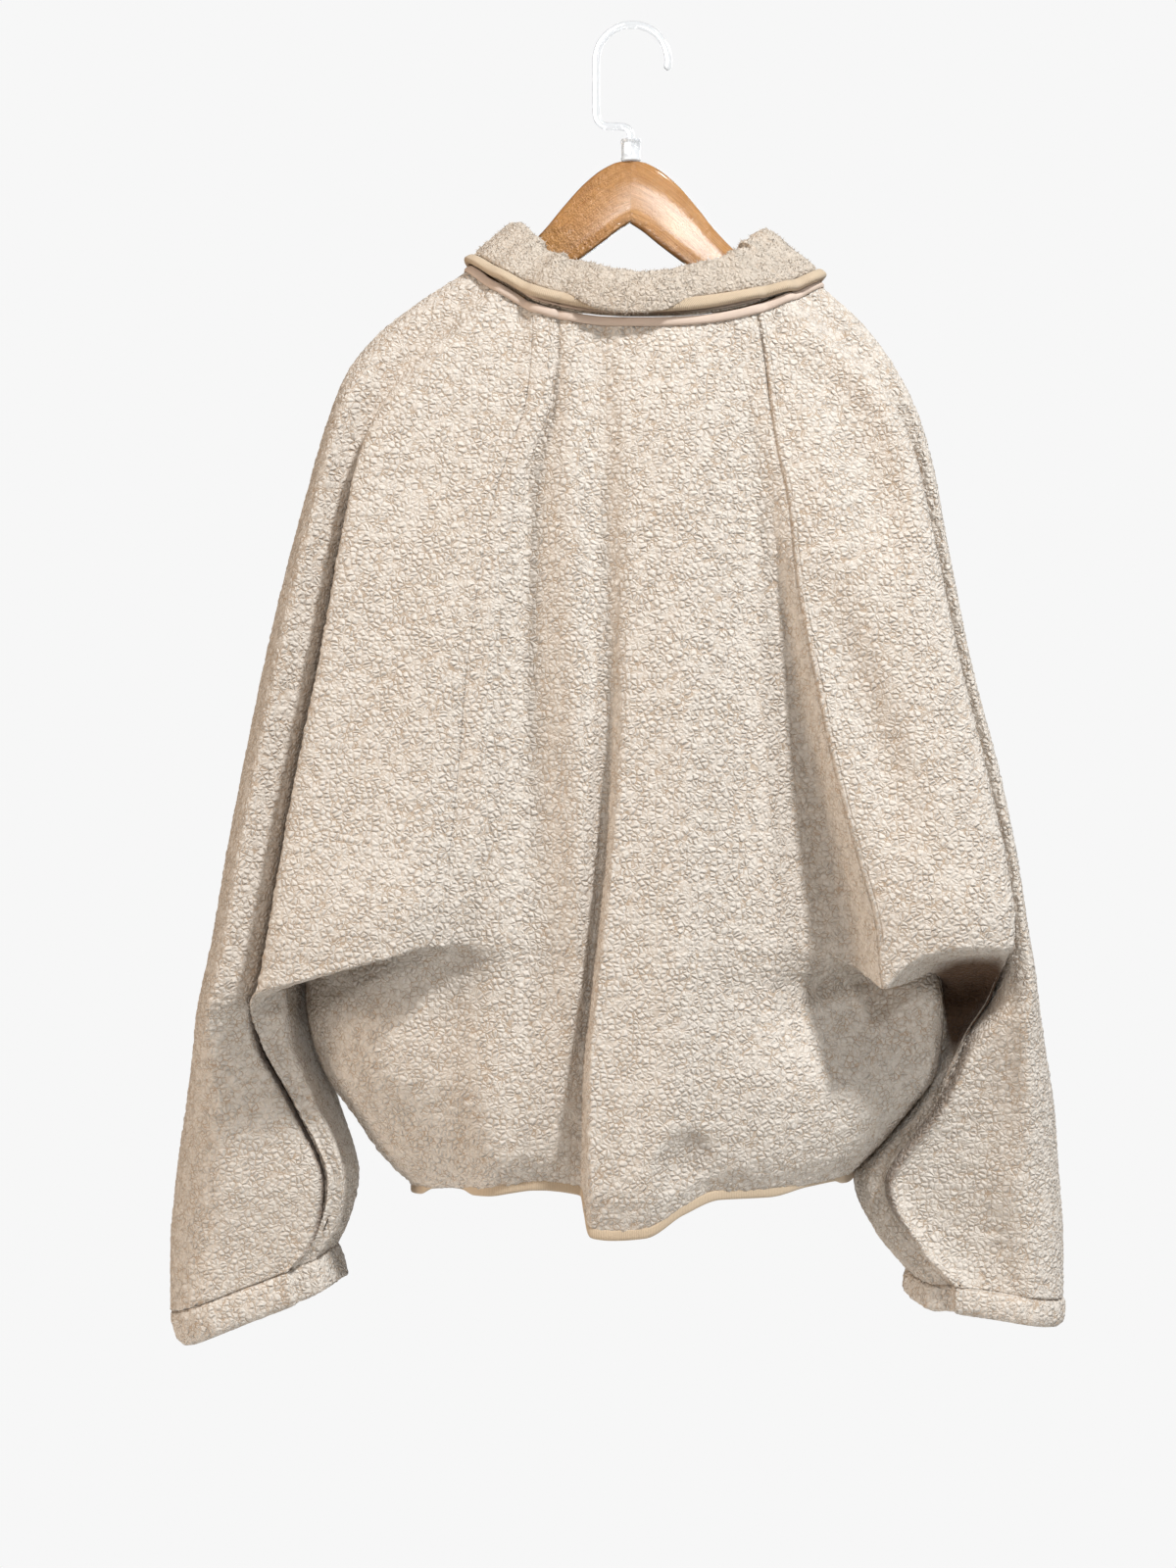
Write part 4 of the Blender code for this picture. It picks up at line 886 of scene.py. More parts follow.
class CollarShape:
    """The collar's own directions at each point of the neck seam, and points of its section."""

    def __init__(self):
        self.rim, self.out, beyond = edge_ring(NECK_PANELS, (0, 1), 0)
        self.share, self.length = shares_along(self.rim)
        self.rows = pchip([row[0] for row in COLLAR], np.array(COLLAR, float)[:, 1:], self.share)
        self.tangent = unit(smooth_row(np.gradient(self.rim, axis=0), 4))
        flat = np.zeros(len(self.rim))
        level = unit(np.stack([-self.tangent[:, 1], self.tangent[:, 0], flat], axis=1))
        level = unit(smooth_row(level * np.sign((level * self.out).sum(axis=1, keepdims=True)), 20))
        lean = np.radians(self.rows[:, :1])
        self.up = self.square(UP * np.cos(lean) - level * np.sin(lean))
        self.outward = self.square(level * np.cos(lean) + UP * np.sin(lean))
        self.away = unit(self.rim - beyond)
        self.reach = unit(beyond - self.rim)
        self.soft_rim = smooth_row(self.rim.copy(), 14)
        splay = np.clip(1 - self.share / 0.12, 0, 1) - np.clip(1 - (1 - self.share) / 0.12, 0, 1)
        self.splay = splay[:, None]

    def square(self, direction):
        """The direction turned square to the seam."""
        along = (direction * self.tangent).sum(axis=1, keepdims=True)
        return unit(direction - self.tangent * along)

    def points(self, out, high):
        """Points of the section all along the seam."""
        out = np.broadcast_to(out, self.share.shape)[:, None]
        high = np.broadcast_to(high, self.share.shape)[:, None]
        base = lerp(self.rim + self.away * COLLAR_GAP, self.soft_rim, ease(high / ROLL_BLEND))
        fan = self.tangent * self.splay * 1.1 * np.maximum(0.0, high)
        return base + self.outward * out + self.up * high + fan

    def roll_section(self):
        """The rolled collar's outline, and how much pile each of its points has."""
        height, fall_end, space = self.rows[:, 1], self.rows[:, 2], self.rows[:, 3]
        inner_top = height - COLLAR_WALL
        mid = space / 2
        far = space + COLLAR_WALL
        flap = np.exp(-(((self.share - FLAP_MIDDLE) / FLAP_WIDTH) ** 4))
        # Each corner's distance out, its height and its share of pile, up the inside first.
        corners = [
            (0, 1.0, 0),
            (0, 5.0, 0),
            (0, 10.0, 0),
            (0, 15.0, 0),
            (0, inner_top - mid, 0),
            (mid, inner_top, 0),
            (space, inner_top - mid, 0),
            (space, fall_end, 0),
            (far, fall_end, 0.5),
            (far + 1.4 * flap, fall_end - flap, 0.5),
            (far + 1.6 * flap, fall_end - 10.5 * flap, 0.7),
            (far + 4.2 * flap, fall_end - 9.5 * flap, 1),
            (far + 0.5 + 4.5 * flap, lerp(fall_end, height, 0.5) - 4.0 * flap, 1),
            (far - 1.0, height - 4, 1),
            (far - 4.0, height - 0.6, 1),
            (mid - 2.0, height, 1),
            (-3.2, height - 3, 1),
            (-COLLAR_WALL, height - 8, 1),
            (-COLLAR_WALL, 6, 0.6),
        ]
        lines = [self.points(out, high) for out, high, _ in corners]
        foot = self.rim + self.away * COLLAR_GAP
        inner_foot = self.rim - self.out * 4.0 + self.away * COLLAR_GAP
        pile = [share for _, _, share in corners]
        return np.stack([foot, *lines, inner_foot], axis=1), np.array([0, *pile, 0], float)

    def binding_section(self):
        """Outline of the elastic binding round the collar's free edge."""
        fall_end, space = self.rows[:, 2], self.rows[:, 3]
        low = fall_end - 0.3 - BINDING_HEIGHT
        high = fall_end + 0.6
        near = space - 0.3
        far = space + COLLAR_WALL + 0.9
        corners = ((near + 0.8, high), (near, high - 1.6), (near, low + 1.6), (near + 1.4, low))
        corners += ((far - 1.4, low), (far, low + 1.6), (far, high - 1.6), (far - 0.8, high))
        return np.stack([self.points(out, at) for out, at in corners], axis=1)


def even_rings(rings, spacing):
    """The same tube or strip with rings at even distances, smoothly in between."""
    middle = rings.mean(axis=1)
    share, length = shares_along(middle)
    count = max(3, round(length / spacing))
    at = np.linspace(0, 1, count + 1)
    return pchip(share, rings, at), at * length


def round_outline(rings, count, passes):
    """Closed outlines with evenly spaced points and softened corners."""
    closed = np.concatenate([rings, rings[:, :1]], axis=1)
    result = np.zeros((len(rings), count, rings.shape[2]))
    for i, line in enumerate(closed):
        share, _ = shares_along(line[:, :3])
        at = np.arange(count) / count
        for axis in range(rings.shape[2]):
            result[i, :, axis] = np.interp(at, share, line[:, axis])
    for _ in range(passes):
        result = 0.25 * np.roll(result, 1, axis=1) + 0.5 * result + 0.25 * np.roll(result, -1, axis=1)
    return result


# The collar's tufts of pile: how many, their length and their foot's radius in millimetres,
# how far they hang down, how deep they are rooted, and the seed of their places.
TUFT_COUNT = 6000
TUFT_LENGTH = 2.8
TUFT_RADIUS = 0.4
TUFT_DROOP = 0.35
TUFT_ROOT = 0.7
TUFT_SEED = 12
# Pile values of the cloth's inside and of the tufts, and a seam distance past every seam.
INSIDE_PILE = 0.6
TUFT_PILE = 0.9
FAR_FROM_SEAM = 20.0


def add_tufts(mesh, grid, normals, weight):
    """Roots short pointed tufts of pile in a mesh, where the weight of its grid is high."""
    count = TUFT_COUNT
    random = np.random.default_rng(TUFT_SEED)
    weight = weight.ravel() / weight.sum()
    spots = random.choice(len(weight), size=count, p=weight)
    roots = grid.reshape(-1, 3)[spots]
    outward = normals.reshape(-1, 3)[spots]
    lean = unit(outward + random.normal(0.0, 0.35, (count, 3)) - np.array([0.0, 0.0, TUFT_DROOP]))
    tall = TUFT_LENGTH * random.uniform(0.5, 1.2, count)

    grown = bmesh.new()
    which = grown.verts.layers.float.new("which")
    bmesh.ops.create_cone(grown, segments=3, radius1=1.0, radius2=0.0, depth=1.0)
    bmesh.ops.remove_doubles(grown, verts=grown.verts, dist=1e-4)
    made = 1
    while made < count:
        copies = bmesh.ops.duplicate(grown, geom=grown.verts[:] + grown.edges[:] + grown.faces[:])["geom"]
        for vert in copies:
            if isinstance(vert, bmesh.types.BMVert):
                vert[which] += made
        made *= 2
    spare = [vert for vert in grown.verts if vert[which] > count - 0.5]
    bmesh.ops.delete(grown, geom=spare, context="VERTS")
    tufts = finished_mesh(grown, "tufts")
    number = np.rint(read_from(tufts, "which")).astype(int)
    tufts.attributes.remove(tufts.attributes["which"])
    cone = np.zeros(len(number) * 3, np.float32)
    tufts.vertices.foreach_get("co", cone)
    cone = cone.reshape(-1, 3)
    side = unit(np.cross(lean, np.array([0.31, 0.52, 0.79])))
    other = np.cross(lean, side)
    rise = (cone[:, 2] + 0.5) * tall[number] - TUFT_ROOT
    points = roots[number] + lean[number] * rise[:, None]
    points += (side[number] * cone[:, :1] + other[number] * cone[:, 1:2]) * TUFT_RADIUS
    tufts.vertices.foreach_set("co", (points * MM).ravel())
    place_in(tufts, "pile", np.full(len(number), TUFT_PILE))
    place_in(tufts, "seam", np.full(len(number), FAR_FROM_SEAM))

    joined = bmesh.new()
    joined.from_mesh(mesh)
    joined.from_mesh(tufts)
    joined.to_mesh(mesh)
    joined.free()
    bpy.data.meshes.remove(tufts)


def tube_normals(rings):
    """Directions square to a tube's surface, out of it."""
    along = np.gradient(rings, axis=0)
    around = np.roll(rings, -1, axis=1) - np.roll(rings, 1, axis=1)
    normal = unit(np.cross(around, along))
    middle = len(rings) // 2
    ring = rings[middle]
    area = (np.cross(ring, np.roll(ring, -1, axis=0)).sum(axis=0) * along[middle].mean(axis=0)).sum()
    return normal if area > 0 else -normal


class JacketCloth(bpy.types.PropertyGroup):
    """Sizes and colours of the cloth."""

    mesh_step: FloatProperty(name="Mesh step", description="Distance between points of the fleece",
                             default=0.00176, unit="LENGTH")
    wall: FloatProperty(name="Cloth thickness", description="Thickness of the fleece without its pile",
                        default=0.004, unit="LENGTH")
    pile: FloatProperty(name="Pile height", description="How far the curled lumps stand out",
                        default=0.0013, unit="LENGTH")
    clump: FloatProperty(name="Clump size", description="Distance between clumps of curled pile",
                         default=0.0052, unit="LENGTH")
    curl: FloatProperty(name="Curl size", description="Distance between single curls of the pile",
                        default=0.0038, unit="LENGTH")
    fleece: FloatVectorProperty(name="Fleece", description="Colour of the fleece", subtype="COLOR",
                                default=(0.66, 0.602, 0.538))
    # The collar's colour is darker than the fleece's to stand in for the shade the roll lies in: painted
    # shade.
    collar: FloatVectorProperty(name="Collar", description="Colour of the collar's longer pile",
                                subtype="COLOR", default=(0.62, 0.54, 0.455))
    binding: FloatVectorProperty(name="Binding", description="Colour of the elastic binding",
                                 subtype="COLOR", default=(0.52, 0.405, 0.285))
    woven: FloatVectorProperty(name="Woven tape", description="Colour of the woven neck tape",
                               subtype="COLOR", default=(0.60, 0.475, 0.39))


class JacketZip(bpy.types.PropertyGroup):
    """Sizes and colours of the zip."""

    pitch: FloatProperty(name="Tooth pitch", description="Distance between teeth of one side",
                         default=0.0028, unit="LENGTH")
    tape: FloatVectorProperty(name="Zip tape", description="Colour of the zip's tapes",
                              subtype="COLOR", default=(0.62, 0.51, 0.38))
    plastic: FloatVectorProperty(name="Zip plastic", description="Colour of the teeth and slider",
                                 subtype="COLOR", default=(0.64, 0.54, 0.42))


class JacketHanger(bpy.types.PropertyGroup):
    """Sizes and colours of the hanger."""

    half_thickness: FloatProperty(name="Half thickness", description="Half the wood's thickness",
                                  default=0.006, unit="LENGTH")
    rod: FloatProperty(name="Rod radius", description="Radius of the clear hook's rod",
                       default=0.0025, unit="LENGTH")
    wood: FloatVectorProperty(name="Wood", description="Colour of the varnished wood",
                              subtype="COLOR", default=(0.55, 0.285, 0.10))


class JacketStage(bpy.types.PropertyGroup):
    """Light, floor and camera."""

    floor_drop: FloatProperty(name="Floor", description="How far the floor lies under the hook",
                              default=1.35, unit="LENGTH")
    floor_colour: FloatVectorProperty(name="Floor colour", description="Colour of the floor",
                                      subtype="COLOR", default=(0.86, 0.86, 0.85))
    ambient: FloatProperty(name="Ambient light", description="Strength of the light from all sides",
                           default=0.05)
    key: FloatProperty(name="Key light", description="Power of the light from the upper right",
                       default=190.0, unit="POWER")
    side: FloatProperty(name="Side light", description="Power of the light from the right",
                        default=38.0, unit="POWER")
    left: FloatProperty(name="Left light", description="Power of the soft light from the left",
                        default=84.0, unit="POWER")
    front: FloatProperty(name="Front light", description="Power of the soft light from the left in front",
                         default=26.0, unit="POWER")
    rear: FloatProperty(name="Rear light", description="Power of the soft light on the jacket's front side",
                        default=34.0, unit="POWER")
    glint: FloatProperty(name="Glint light", description="Power of the small light the varnish mirrors",
                         default=14.0, unit="POWER")


CLEAR_LIGHT = (0.97, 1.0, 1.02)
WARM_LIGHT = (1.0, 0.85, 0.71)
# Place, size and colour of each light. Its power is the property of the same name.
LIGHTS = {
    "key": ((1.57, -1.88, 2.62), 0.35, CLEAR_LIGHT),
    "side": ((3.51, -1.67, 0.33), 0.35, CLEAR_LIGHT),
    "left": ((-3.83, -1.2, -0.1), 1.00, WARM_LIGHT),
    "front": ((-2.27, -3.26, 0.11), 1.20, WARM_LIGHT),
    "rear": ((0.9, 3.2, 0.6), 1.50, CLEAR_LIGHT),
    "glint": ((0.15, -2.40, 0.31), 0.20, CLEAR_LIGHT),
}
LIGHT_AIM = Vector((-0.03, 0.0, -0.5))
CAMERA_PLACE = (-0.02925, -2.0, -0.5005)
CAMERA_LENS = 69.33
FLOOR_RADIUS = 1.1
BACKDROP = (0.93, 0.93, 0.93, 1.0)


class JACKET_OT_stage(bpy.types.Operator):
    """Floor, lights, world and camera"""

    bl_idname = "jacket.stage"
    bl_label = "Stage"

    def execute(self, context):
        scene = context.scene
        sizes = scene.jacket_stage
        bm = bmesh.new()
        bmesh.ops.create_circle(bm, cap_ends=True, segments=96, radius=FLOOR_RADIUS)
        bmesh.ops.translate(bm, vec=(0.0, 0.0, -sizes.floor_drop), verts=bm.verts)
        mesh = finished_mesh(bm, "floor")
        mesh.materials.append(floor_paint(tuple(sizes.floor_colour)))
        floor = bpy.data.objects.new("floor", mesh)
        scene.collection.objects.link(floor)

        world = bpy.data.worlds.new("studio")
        scene.world = world
        world.use_nodes = True
        nodes = world.node_tree.nodes
        links = world.node_tree.links
        ambient = nodes["Background"]
        ambient.inputs["Color"].default_value = (*WARM_LIGHT, 1.0)
        ambient.inputs["Strength"].default_value = sizes.ambient
        seen = nodes.new("ShaderNodeBackground")
        seen.inputs["Color"].default_value = BACKDROP
        seen.inputs["Strength"].default_value = 1.0
        path = nodes.new("ShaderNodeLightPath")
        either = nodes.new("ShaderNodeMath")
        either.operation = "MAXIMUM"
        links.new(path.outputs["Is Camera Ray"], either.inputs[0])
        links.new(path.outputs["Is Transmission Ray"], either.inputs[1])
        mix = nodes.new("ShaderNodeMixShader")
        links.new(either.outputs[0], mix.inputs["Fac"])
        links.new(ambient.outputs[0], mix.inputs[1])
        links.new(seen.outputs[0], mix.inputs[2])
        links.new(mix.outputs[0], nodes["World Output"].inputs["Surface"])

        for name, (place, size, colour) in LIGHTS.items():
            data = bpy.data.lights.new(name + " light", "AREA")
            data.color = colour
            data.energy = getattr(sizes, name)
            data.size = size
            light = bpy.data.objects.new(name + " light", data)
            light.location = place
            light.rotation_euler = (LIGHT_AIM - Vector(place)).to_track_quat("-Z", "Y").to_euler()
            scene.collection.objects.link(light)

        data = bpy.data.cameras.new("camera")
        data.sensor_fit = "VERTICAL"
        data.sensor_height = 36.0
        data.lens = CAMERA_LENS
        camera = bpy.data.objects.new("camera", data)
        camera.location = CAMERA_PLACE
        camera.rotation_euler = (math.radians(90), 0.0, 0.0)
        scene.collection.objects.link(camera)
        scene.camera = camera
        scene.view_settings.view_transform = "Standard"
        return {"FINISHED"}


# Steps of a panel's outside for each one of its inside.
INSIDE_CUTS = 4
# Share of the pile's height that is left beside a seam, and how low its cracks lie.
PRESSED = 0.35
CRACK_LEVEL = 0.35
# How far the clumps of pile are stretched along each axis, on the panels and on the collar.
CLUMP_SHAPE = np.array([1.1, 1.1, 0.9])
COLLAR_CLUMP_SHAPE = np.array([0.9, 0.9, 1.0])
# How far from a seam the pile stands free again, and the width of the groove it lies in.
SEAM_PRESS = 7.0
SEAM_GROOVE = 2.2
# The panel whose first seam is felled and topstitched, how far in the stitches run, and how
# far the pile is pressed there.
FELLED = "sleeve_right"
FELL_WIDTH = 4.2
FELL_PRESS = 10.0
# Hollows pressed into the panels: middle and reach down the panel, middle and reach across it,
# depth in millimetres, and how dark the shade painted into it is.
HOLLOWS = {
    "sleeve_left": [(14.2, 2.6, 4.75, 0.7, 4.0, 0.75)],
    "sleeve_right": [(12.2, 1.3, 2.6, 2.8, 28.0, 0.97), (14.2, 2.0, 4.75, 0.7, 3.0, 0.55),
                     (14.9, 2.8, 5.95, 0.9, 14.0, 0.0)],
    "back": [(15.7, 0.8, 8.45, 0.5, 8.0, 0.1)],
}
# How far each panel's first and last seam hides in the pile.
SOFT_SEAMS = {"sleeve_left": (0.0, 1.5), "back": (1.5, 0.0)}


def hollow_share(down, across, middle_down, reach_down, middle_across, reach_across):
    """How much of a hollow's depth each point of a panel has."""
    off_down = ((down[:, None] - middle_down) / reach_down) ** 2
    off_across = ((across[None, :] - middle_across) / reach_across) ** 2
    return np.clip(1 - (off_down + off_across), 0, 1) ** 1.5


def pile_height(lumps, pile, free):
    """How far the pile stands out. It lies flatter where it isn't free, beside a seam."""
    return (lumps - CRACK_LEVEL) * pile / MM * (PRESSED + (1 - PRESSED) * ease(free))


def add_fleece(name, outer, inner, cuts, marks, paint):
    """Makes a piece of fleece. Each mark has its values outside and one value for the inside."""
    mesh, row, col, outside = cloth_wall(name, outer, inner, cuts)
    for mark, (values, plain) in marks.items():
        place_in(mesh, mark, np.where(outside, values[row, col], plain))
    return add_piece("fleece_" + name, mesh, paint, "jacket", name)


class JACKET_OT_panels(bpy.types.Operator):
    """Back, fronts and sleeves of curled fleece"""

    bl_idname = "jacket.panels"
    bl_label = "Fleece panels"

    def execute(self, context):
        cloth = context.scene.jacket_cloth
        paint = fleece_paint("cream fleece", tuple(cloth.fleece), cloth.curl)
        for name in PANELS:
            self.add_panel(name, cloth, paint)
        return {"FINISHED"}

    def add_panel(self, name, cloth, paint):
        shape, first, last = PANELS[name]
        spacing = cloth.mesh_step / MM * INSIDE_CUTS
        levels = refine(even_steps(shape, (first, last), 0, LEVELS - 1, spacing, 0), INSIDE_CUTS)
        across = refine(even_steps(shape, (0, LEVELS - 1), first, last, spacing, 1), INSIDE_CUTS)
        grid = shape(levels, across)
        # Each hollow dents the cloth, and the shade in it is painted into the colour through the hollow
        # mark.
        dark = np.zeros(grid.shape[:2])
        for *place, depth, shadow in HOLLOWS.get(name, ()):
            share = hollow_share(levels, across, *place)
            grid[..., 1] += depth * share
            dark = np.maximum(dark, shadow * np.clip(share * 2.5, 0, 1))
        normals = grid_normals(grid)
        from_first = arc_lengths(grid, 1)
        from_last = from_first[:, -1:] - from_first
        soft_first, soft_last = SOFT_SEAMS.get(name, (0.0, 0.0))
        seam = np.minimum(from_first + soft_first, from_last + soft_last)
        inner = grid - normals * cloth_thickness(grid, cloth.wall / MM)
        lumps = pile_lumps(grid, CLUMP_SHAPE * cloth.clump / MM)
        free = seam / SEAM_PRESS
        if name == FELLED:
            free = np.minimum(free, from_first / FELL_PRESS)
        relief = pile_height(lumps, cloth.pile, free)
        # Every seam lies in a groove, apart from the underarm where it is pushed closed.
        joined = 1 - np.exp(-(((levels - UNDERARM - 0.7) / 1.2) ** 2))
        relief -= joined[:, None] * np.exp(-((seam / SEAM_GROOVE) ** 2))
        # The felled seam has a raised band, and its stitches pull a second groove beside it.
        if name == FELLED:
            relief += 0.9 * (1 - ease((from_first - FELL_WIDTH) / 2.0)) * ease(from_first / 1.5)
            seam = np.minimum(seam, 0.5 + 1.2 * np.abs(from_first - FELL_WIDTH))
        outer = grid + normals * relief[..., None]
        marks = {"pile": (lumps, INSIDE_PILE), "seam": (seam, FAR_FROM_SEAM), "hollow": (dark, 0.0)}
        piece = add_fleece(name, outer, inner, INSIDE_CUTS, marks, paint)


# Space between sleeve and cuff in millimetres.
CUFF_GAP = 0.36
# How often the directions around a sleeve's end are evened out for the cuff.
CUFF_SMOOTHING = 30


class JACKET_OT_cuffs(bpy.types.Operator):
    """Turned elastic cuffs"""

    bl_idname = "jacket.cuffs"
    bl_label = "Cuffs"

    # Which way each cuff points, and how deep it is in millimetres.
    DIRECTIONS = {"left": ((0.26, 0, -0.965), 23.0), "right": ((-0.03, 0, -1.0), 18.0)}
    # How far out the cuff bulges, and how thick it is, each at shares of the way down it.
    BULGE = ((0, 0.08, 0.3, 0.6, 0.86, 1), (-0.8, 0.3, 1.3, 1.4, 0.4, -2.0))
    THICKNESS = ((0, 0.2, 0.85, 1), (3.6, 6, 6, 3.4))
    PUCKER_WIDTH = 11.0

    def execute(self, context):
        cloth = context.scene.jacket_cloth
        paint = fleece_paint("cuff fleece", tuple(cloth.fleece), cloth.curl)
        for side in self.DIRECTIONS:
            self.add_cuff(side, cloth, paint)
        return {"FINISHED"}

    def add_cuff(self, side, cloth, paint):
        shape, first, last = PANELS["sleeve_" + side]
        steps = even_steps(shape, (LEVELS - 2, LEVELS - 1), first, last, cloth.mesh_step / MM * 2, 1)
        rim_grid = shape((LEVELS - 1.5, LEVELS - 1), refine(steps, 2))
        normal = grid_normals(rim_grid)[-1]
        for _ in range(CUFF_SMOOTHING):
            ring = normal[:-1]
            normal[:-1] = unit(np.roll(ring, 1, axis=0) + 2 * ring + np.roll(ring, -1, axis=0))
            normal[-1] = normal[0]
        rim = rim_grid[-1]
        direction, height = self.DIRECTIONS[side]
        down = np.array(direction)
        share = np.linspace(0, 1, 2 * round(height / 4) + 1)
        bulge = pchip(*self.BULGE, share)
        around = arc_lengths(rim, 0)
        turn = around / around[-1] * 2 * math.pi
        puckers = round(around[-1] / self.PUCKER_WIDTH)
        pucker = 0.5 * np.sin(turn * puckers + 1.3 * np.sin(turn * 3))
        out = bulge[:, None] + pucker[None, :] * np.sin(math.pi * share)[:, None] ** 0.5
        grid = rim + down * (CUFF_GAP + share * height)[:, None, None] + normal * out[..., None]
        inner = grid - normal * np.interp(share, *self.THICKNESS)[:, None, None]
        lumps = pile_lumps(grid, CLUMP_SHAPE * cloth.clump / MM, 3)
        top = (share * height)[:, None] * np.ones(len(rim))
        outer = grid + unit(normal) * pile_height(lumps, cloth.pile, top / 6.0)[..., None]
        marks = {"pile": (lumps, INSIDE_PILE), "seam": (top, FAR_FROM_SEAM)}
        piece = add_fleece("cuff_" + side, outer, inner, 2, marks, paint)


class JACKET_OT_collar(bpy.types.Operator):
    """Collar of longer pile, rolled outward"""

    bl_idname = "jacket.collar"
    bl_label = "Collar"

    # Points around the roll, the space between its rings, and its pile's height.
    AROUND = 76
    RING_STEP = 1.7
    PILE = 2.2

    def execute(self, context):
        cloth = context.scene.jacket_cloth
        shape = CollarShape()
        section, pile = shape.roll_section()
        marked = np.concatenate([section, np.broadcast_to(pile, section.shape[:2])[..., None]], axis=2)
        rings, _ = even_rings(round_outline(marked, self.AROUND, 5), self.RING_STEP)
        pile = rings[..., 3]
        rings = rings[..., :3]
        normals = tube_normals(rings)
        size = COLLAR_CLUMP_SHAPE * cloth.clump / MM
        lumps = pile_lumps(rings, size, 5)
        fine = pile_lumps(rings, size * 0.5, 6)
        relief = (lumps * 0.65 + fine * 0.35 - 0.3) * self.PILE * pile
        outer = rings + normals * relief[..., None]
        mesh, row, col = tube_wall("collar", outer)
        place_in(mesh, "pile", lumps[row, col])
        place_in(mesh, "seam", np.full(len(row), FAR_FROM_SEAM))
        add_tufts(mesh, outer, normals, ease(pile * 3.0 - 1.2))
        # The collar's darker colour is painted shade.
        paint = fleece_paint("collar fleece", tuple(cloth.collar), cloth.curl * 0.8, collar=True)
        piece = add_piece("fleece_collar", mesh, paint, "jacket", "collar")
        return {"FINISHED"}


class JACKET_OT_bindings(bpy.types.Operator):
    """Elastic bindings of the collar's edge and the hem"""

    bl_idname = "jacket.bindings"
    bl_label = "Bindings"

    # Section of the hem's binding: distances down from the hem and outward.
    HEM = ((-1.6, 0.6), (1.2, 1.0), (3.8, 1.0), (5.6, 0.1), (6.2, -1.3), (6.2, -3.2),
           (5.4, -4.6), (3.6, -5.1), (1.2, -5.0), (-1.6, -4.4))

    def execute(self, context):
        paint = binding_paint(tuple(context.scene.jacket_cloth.binding))
        rings = CollarShape().binding_section()
        self.add_binding("collar_binding", rings, paint)
        rim, out, _ = edge_ring(HEM_PANELS, (LEVELS - 1.5, LEVELS - 1), -1)
        rings = np.stack([rim - UP * down + out * outward for down, outward in self.HEM], axis=1)
        # Beside the middle of the back the hem is tucked up and in.
        behind = ease((-20.0 - rim[:, 1]) / 20.0)
        tucked = np.maximum(ease((-98.0 - rim[:, 0]) / 18.0), ease((rim[:, 0] - 104.0) / 14.0)) * behind
        rings += ((UP * 4.6 - out * 1.2) * tucked[:, None])[:, None]
        self.add_binding("hem_binding", rings, paint)
        return {"FINISHED"}

    def add_binding(self, name, rings, paint):
        rings = round_outline(rings, 24, 1)
        rings, along = even_rings(rings, 2.0)
        mesh, row, col = tube_wall(name, rings)
        place_in(mesh, "along", along[row])
        place_in(mesh, "across", col.astype(float))
        add_piece("elastic_" + name, mesh, paint, "jacket", name)


class JACKET_OT_neck_lining(bpy.types.Operator):
    """Woven strip inside the collar's stand, and the tape over the neck seam"""

    bl_idname = "jacket.neck_lining"
    bl_label = "Neck lining"

    # Lines of the neck tape, down from the seam and outward, and heights of the strip's lines.
    TAPE = ((0.3, 0.6), (1.2, 1.9), (2.6, 2.3), (4.2, 2.3), (5.6, 1.9), (6.6, 0.7))
    STRIP = (15, 12, 9, 6, 3.5, 1.4)
    CRUMPLE_SIZE = (11.0, 11.0, 7.0)

    def execute(self, context):
        paint = woven_paint("woven tape", tuple(context.scene.jacket_cloth.woven))
        shape = CollarShape()
        lines = [shape.rim + shape.reach * down + shape.out * out for down, out in self.TAPE]
        strip = np.stack(lines, axis=1)
        tape, _ = self.add_strip("neck_tape", strip, shape.out, 0.6, 0.15, paint)
        strip = np.stack([shape.points(0.6, high) for high in self.STRIP], axis=1)
        shell, flat = self.add_strip("collar_shell", strip, shape.outward, 0.9, 0.5, paint)
        return {"FINISHED"}

    def add_strip(self, name, strip, out, thick, crumple, paint):
        """A thin strip along the neck, from lines of points along it."""
        both = np.concatenate([strip, np.repeat(out[:, None], strip.shape[1], axis=1)], axis=2)
        both, along = even_rings(both, 2.0)
        both = pchip(np.linspace(0, 1, strip.shape[1]), both.transpose(1, 0, 2), np.linspace(0, 1, 13))
        line = both[..., :3]
        normal = unit(both[..., 3:])
        across = arc_lengths(line, 0)
        lumps = pile_lumps(line, self.CRUMPLE_SIZE, 9)
        outer = line + normal * ((lumps - 0.5) * crumple + thick)[..., None]
        mesh, row, col, outside = cloth_wall(name, outer, outer - normal * thick, 1)
        place_in(mesh, "along", along[col])
        place_in(mesh, "across", across[row, col])
        piece = add_piece("woven_" + name, mesh, paint, "jacket", name)
        return piece, (along[-1] * MM, float(across[-1].mean()) * MM)


def rounded_block(size, radius, segments):
    """A block with rounded edges about the origin, from sizes in millimetres."""
    bm = bmesh.new()
    bmesh.ops.create_cube(bm, size=1.0)
    bmesh.ops.scale(bm, vec=Vector(size) * MM, verts=bm.verts)
    bmesh.ops.bevel(bm, geom=bm.edges[:], offset=radius * MM, segments=segments, profile=0.5,
                    affect="EDGES", material=-1)
    return bm


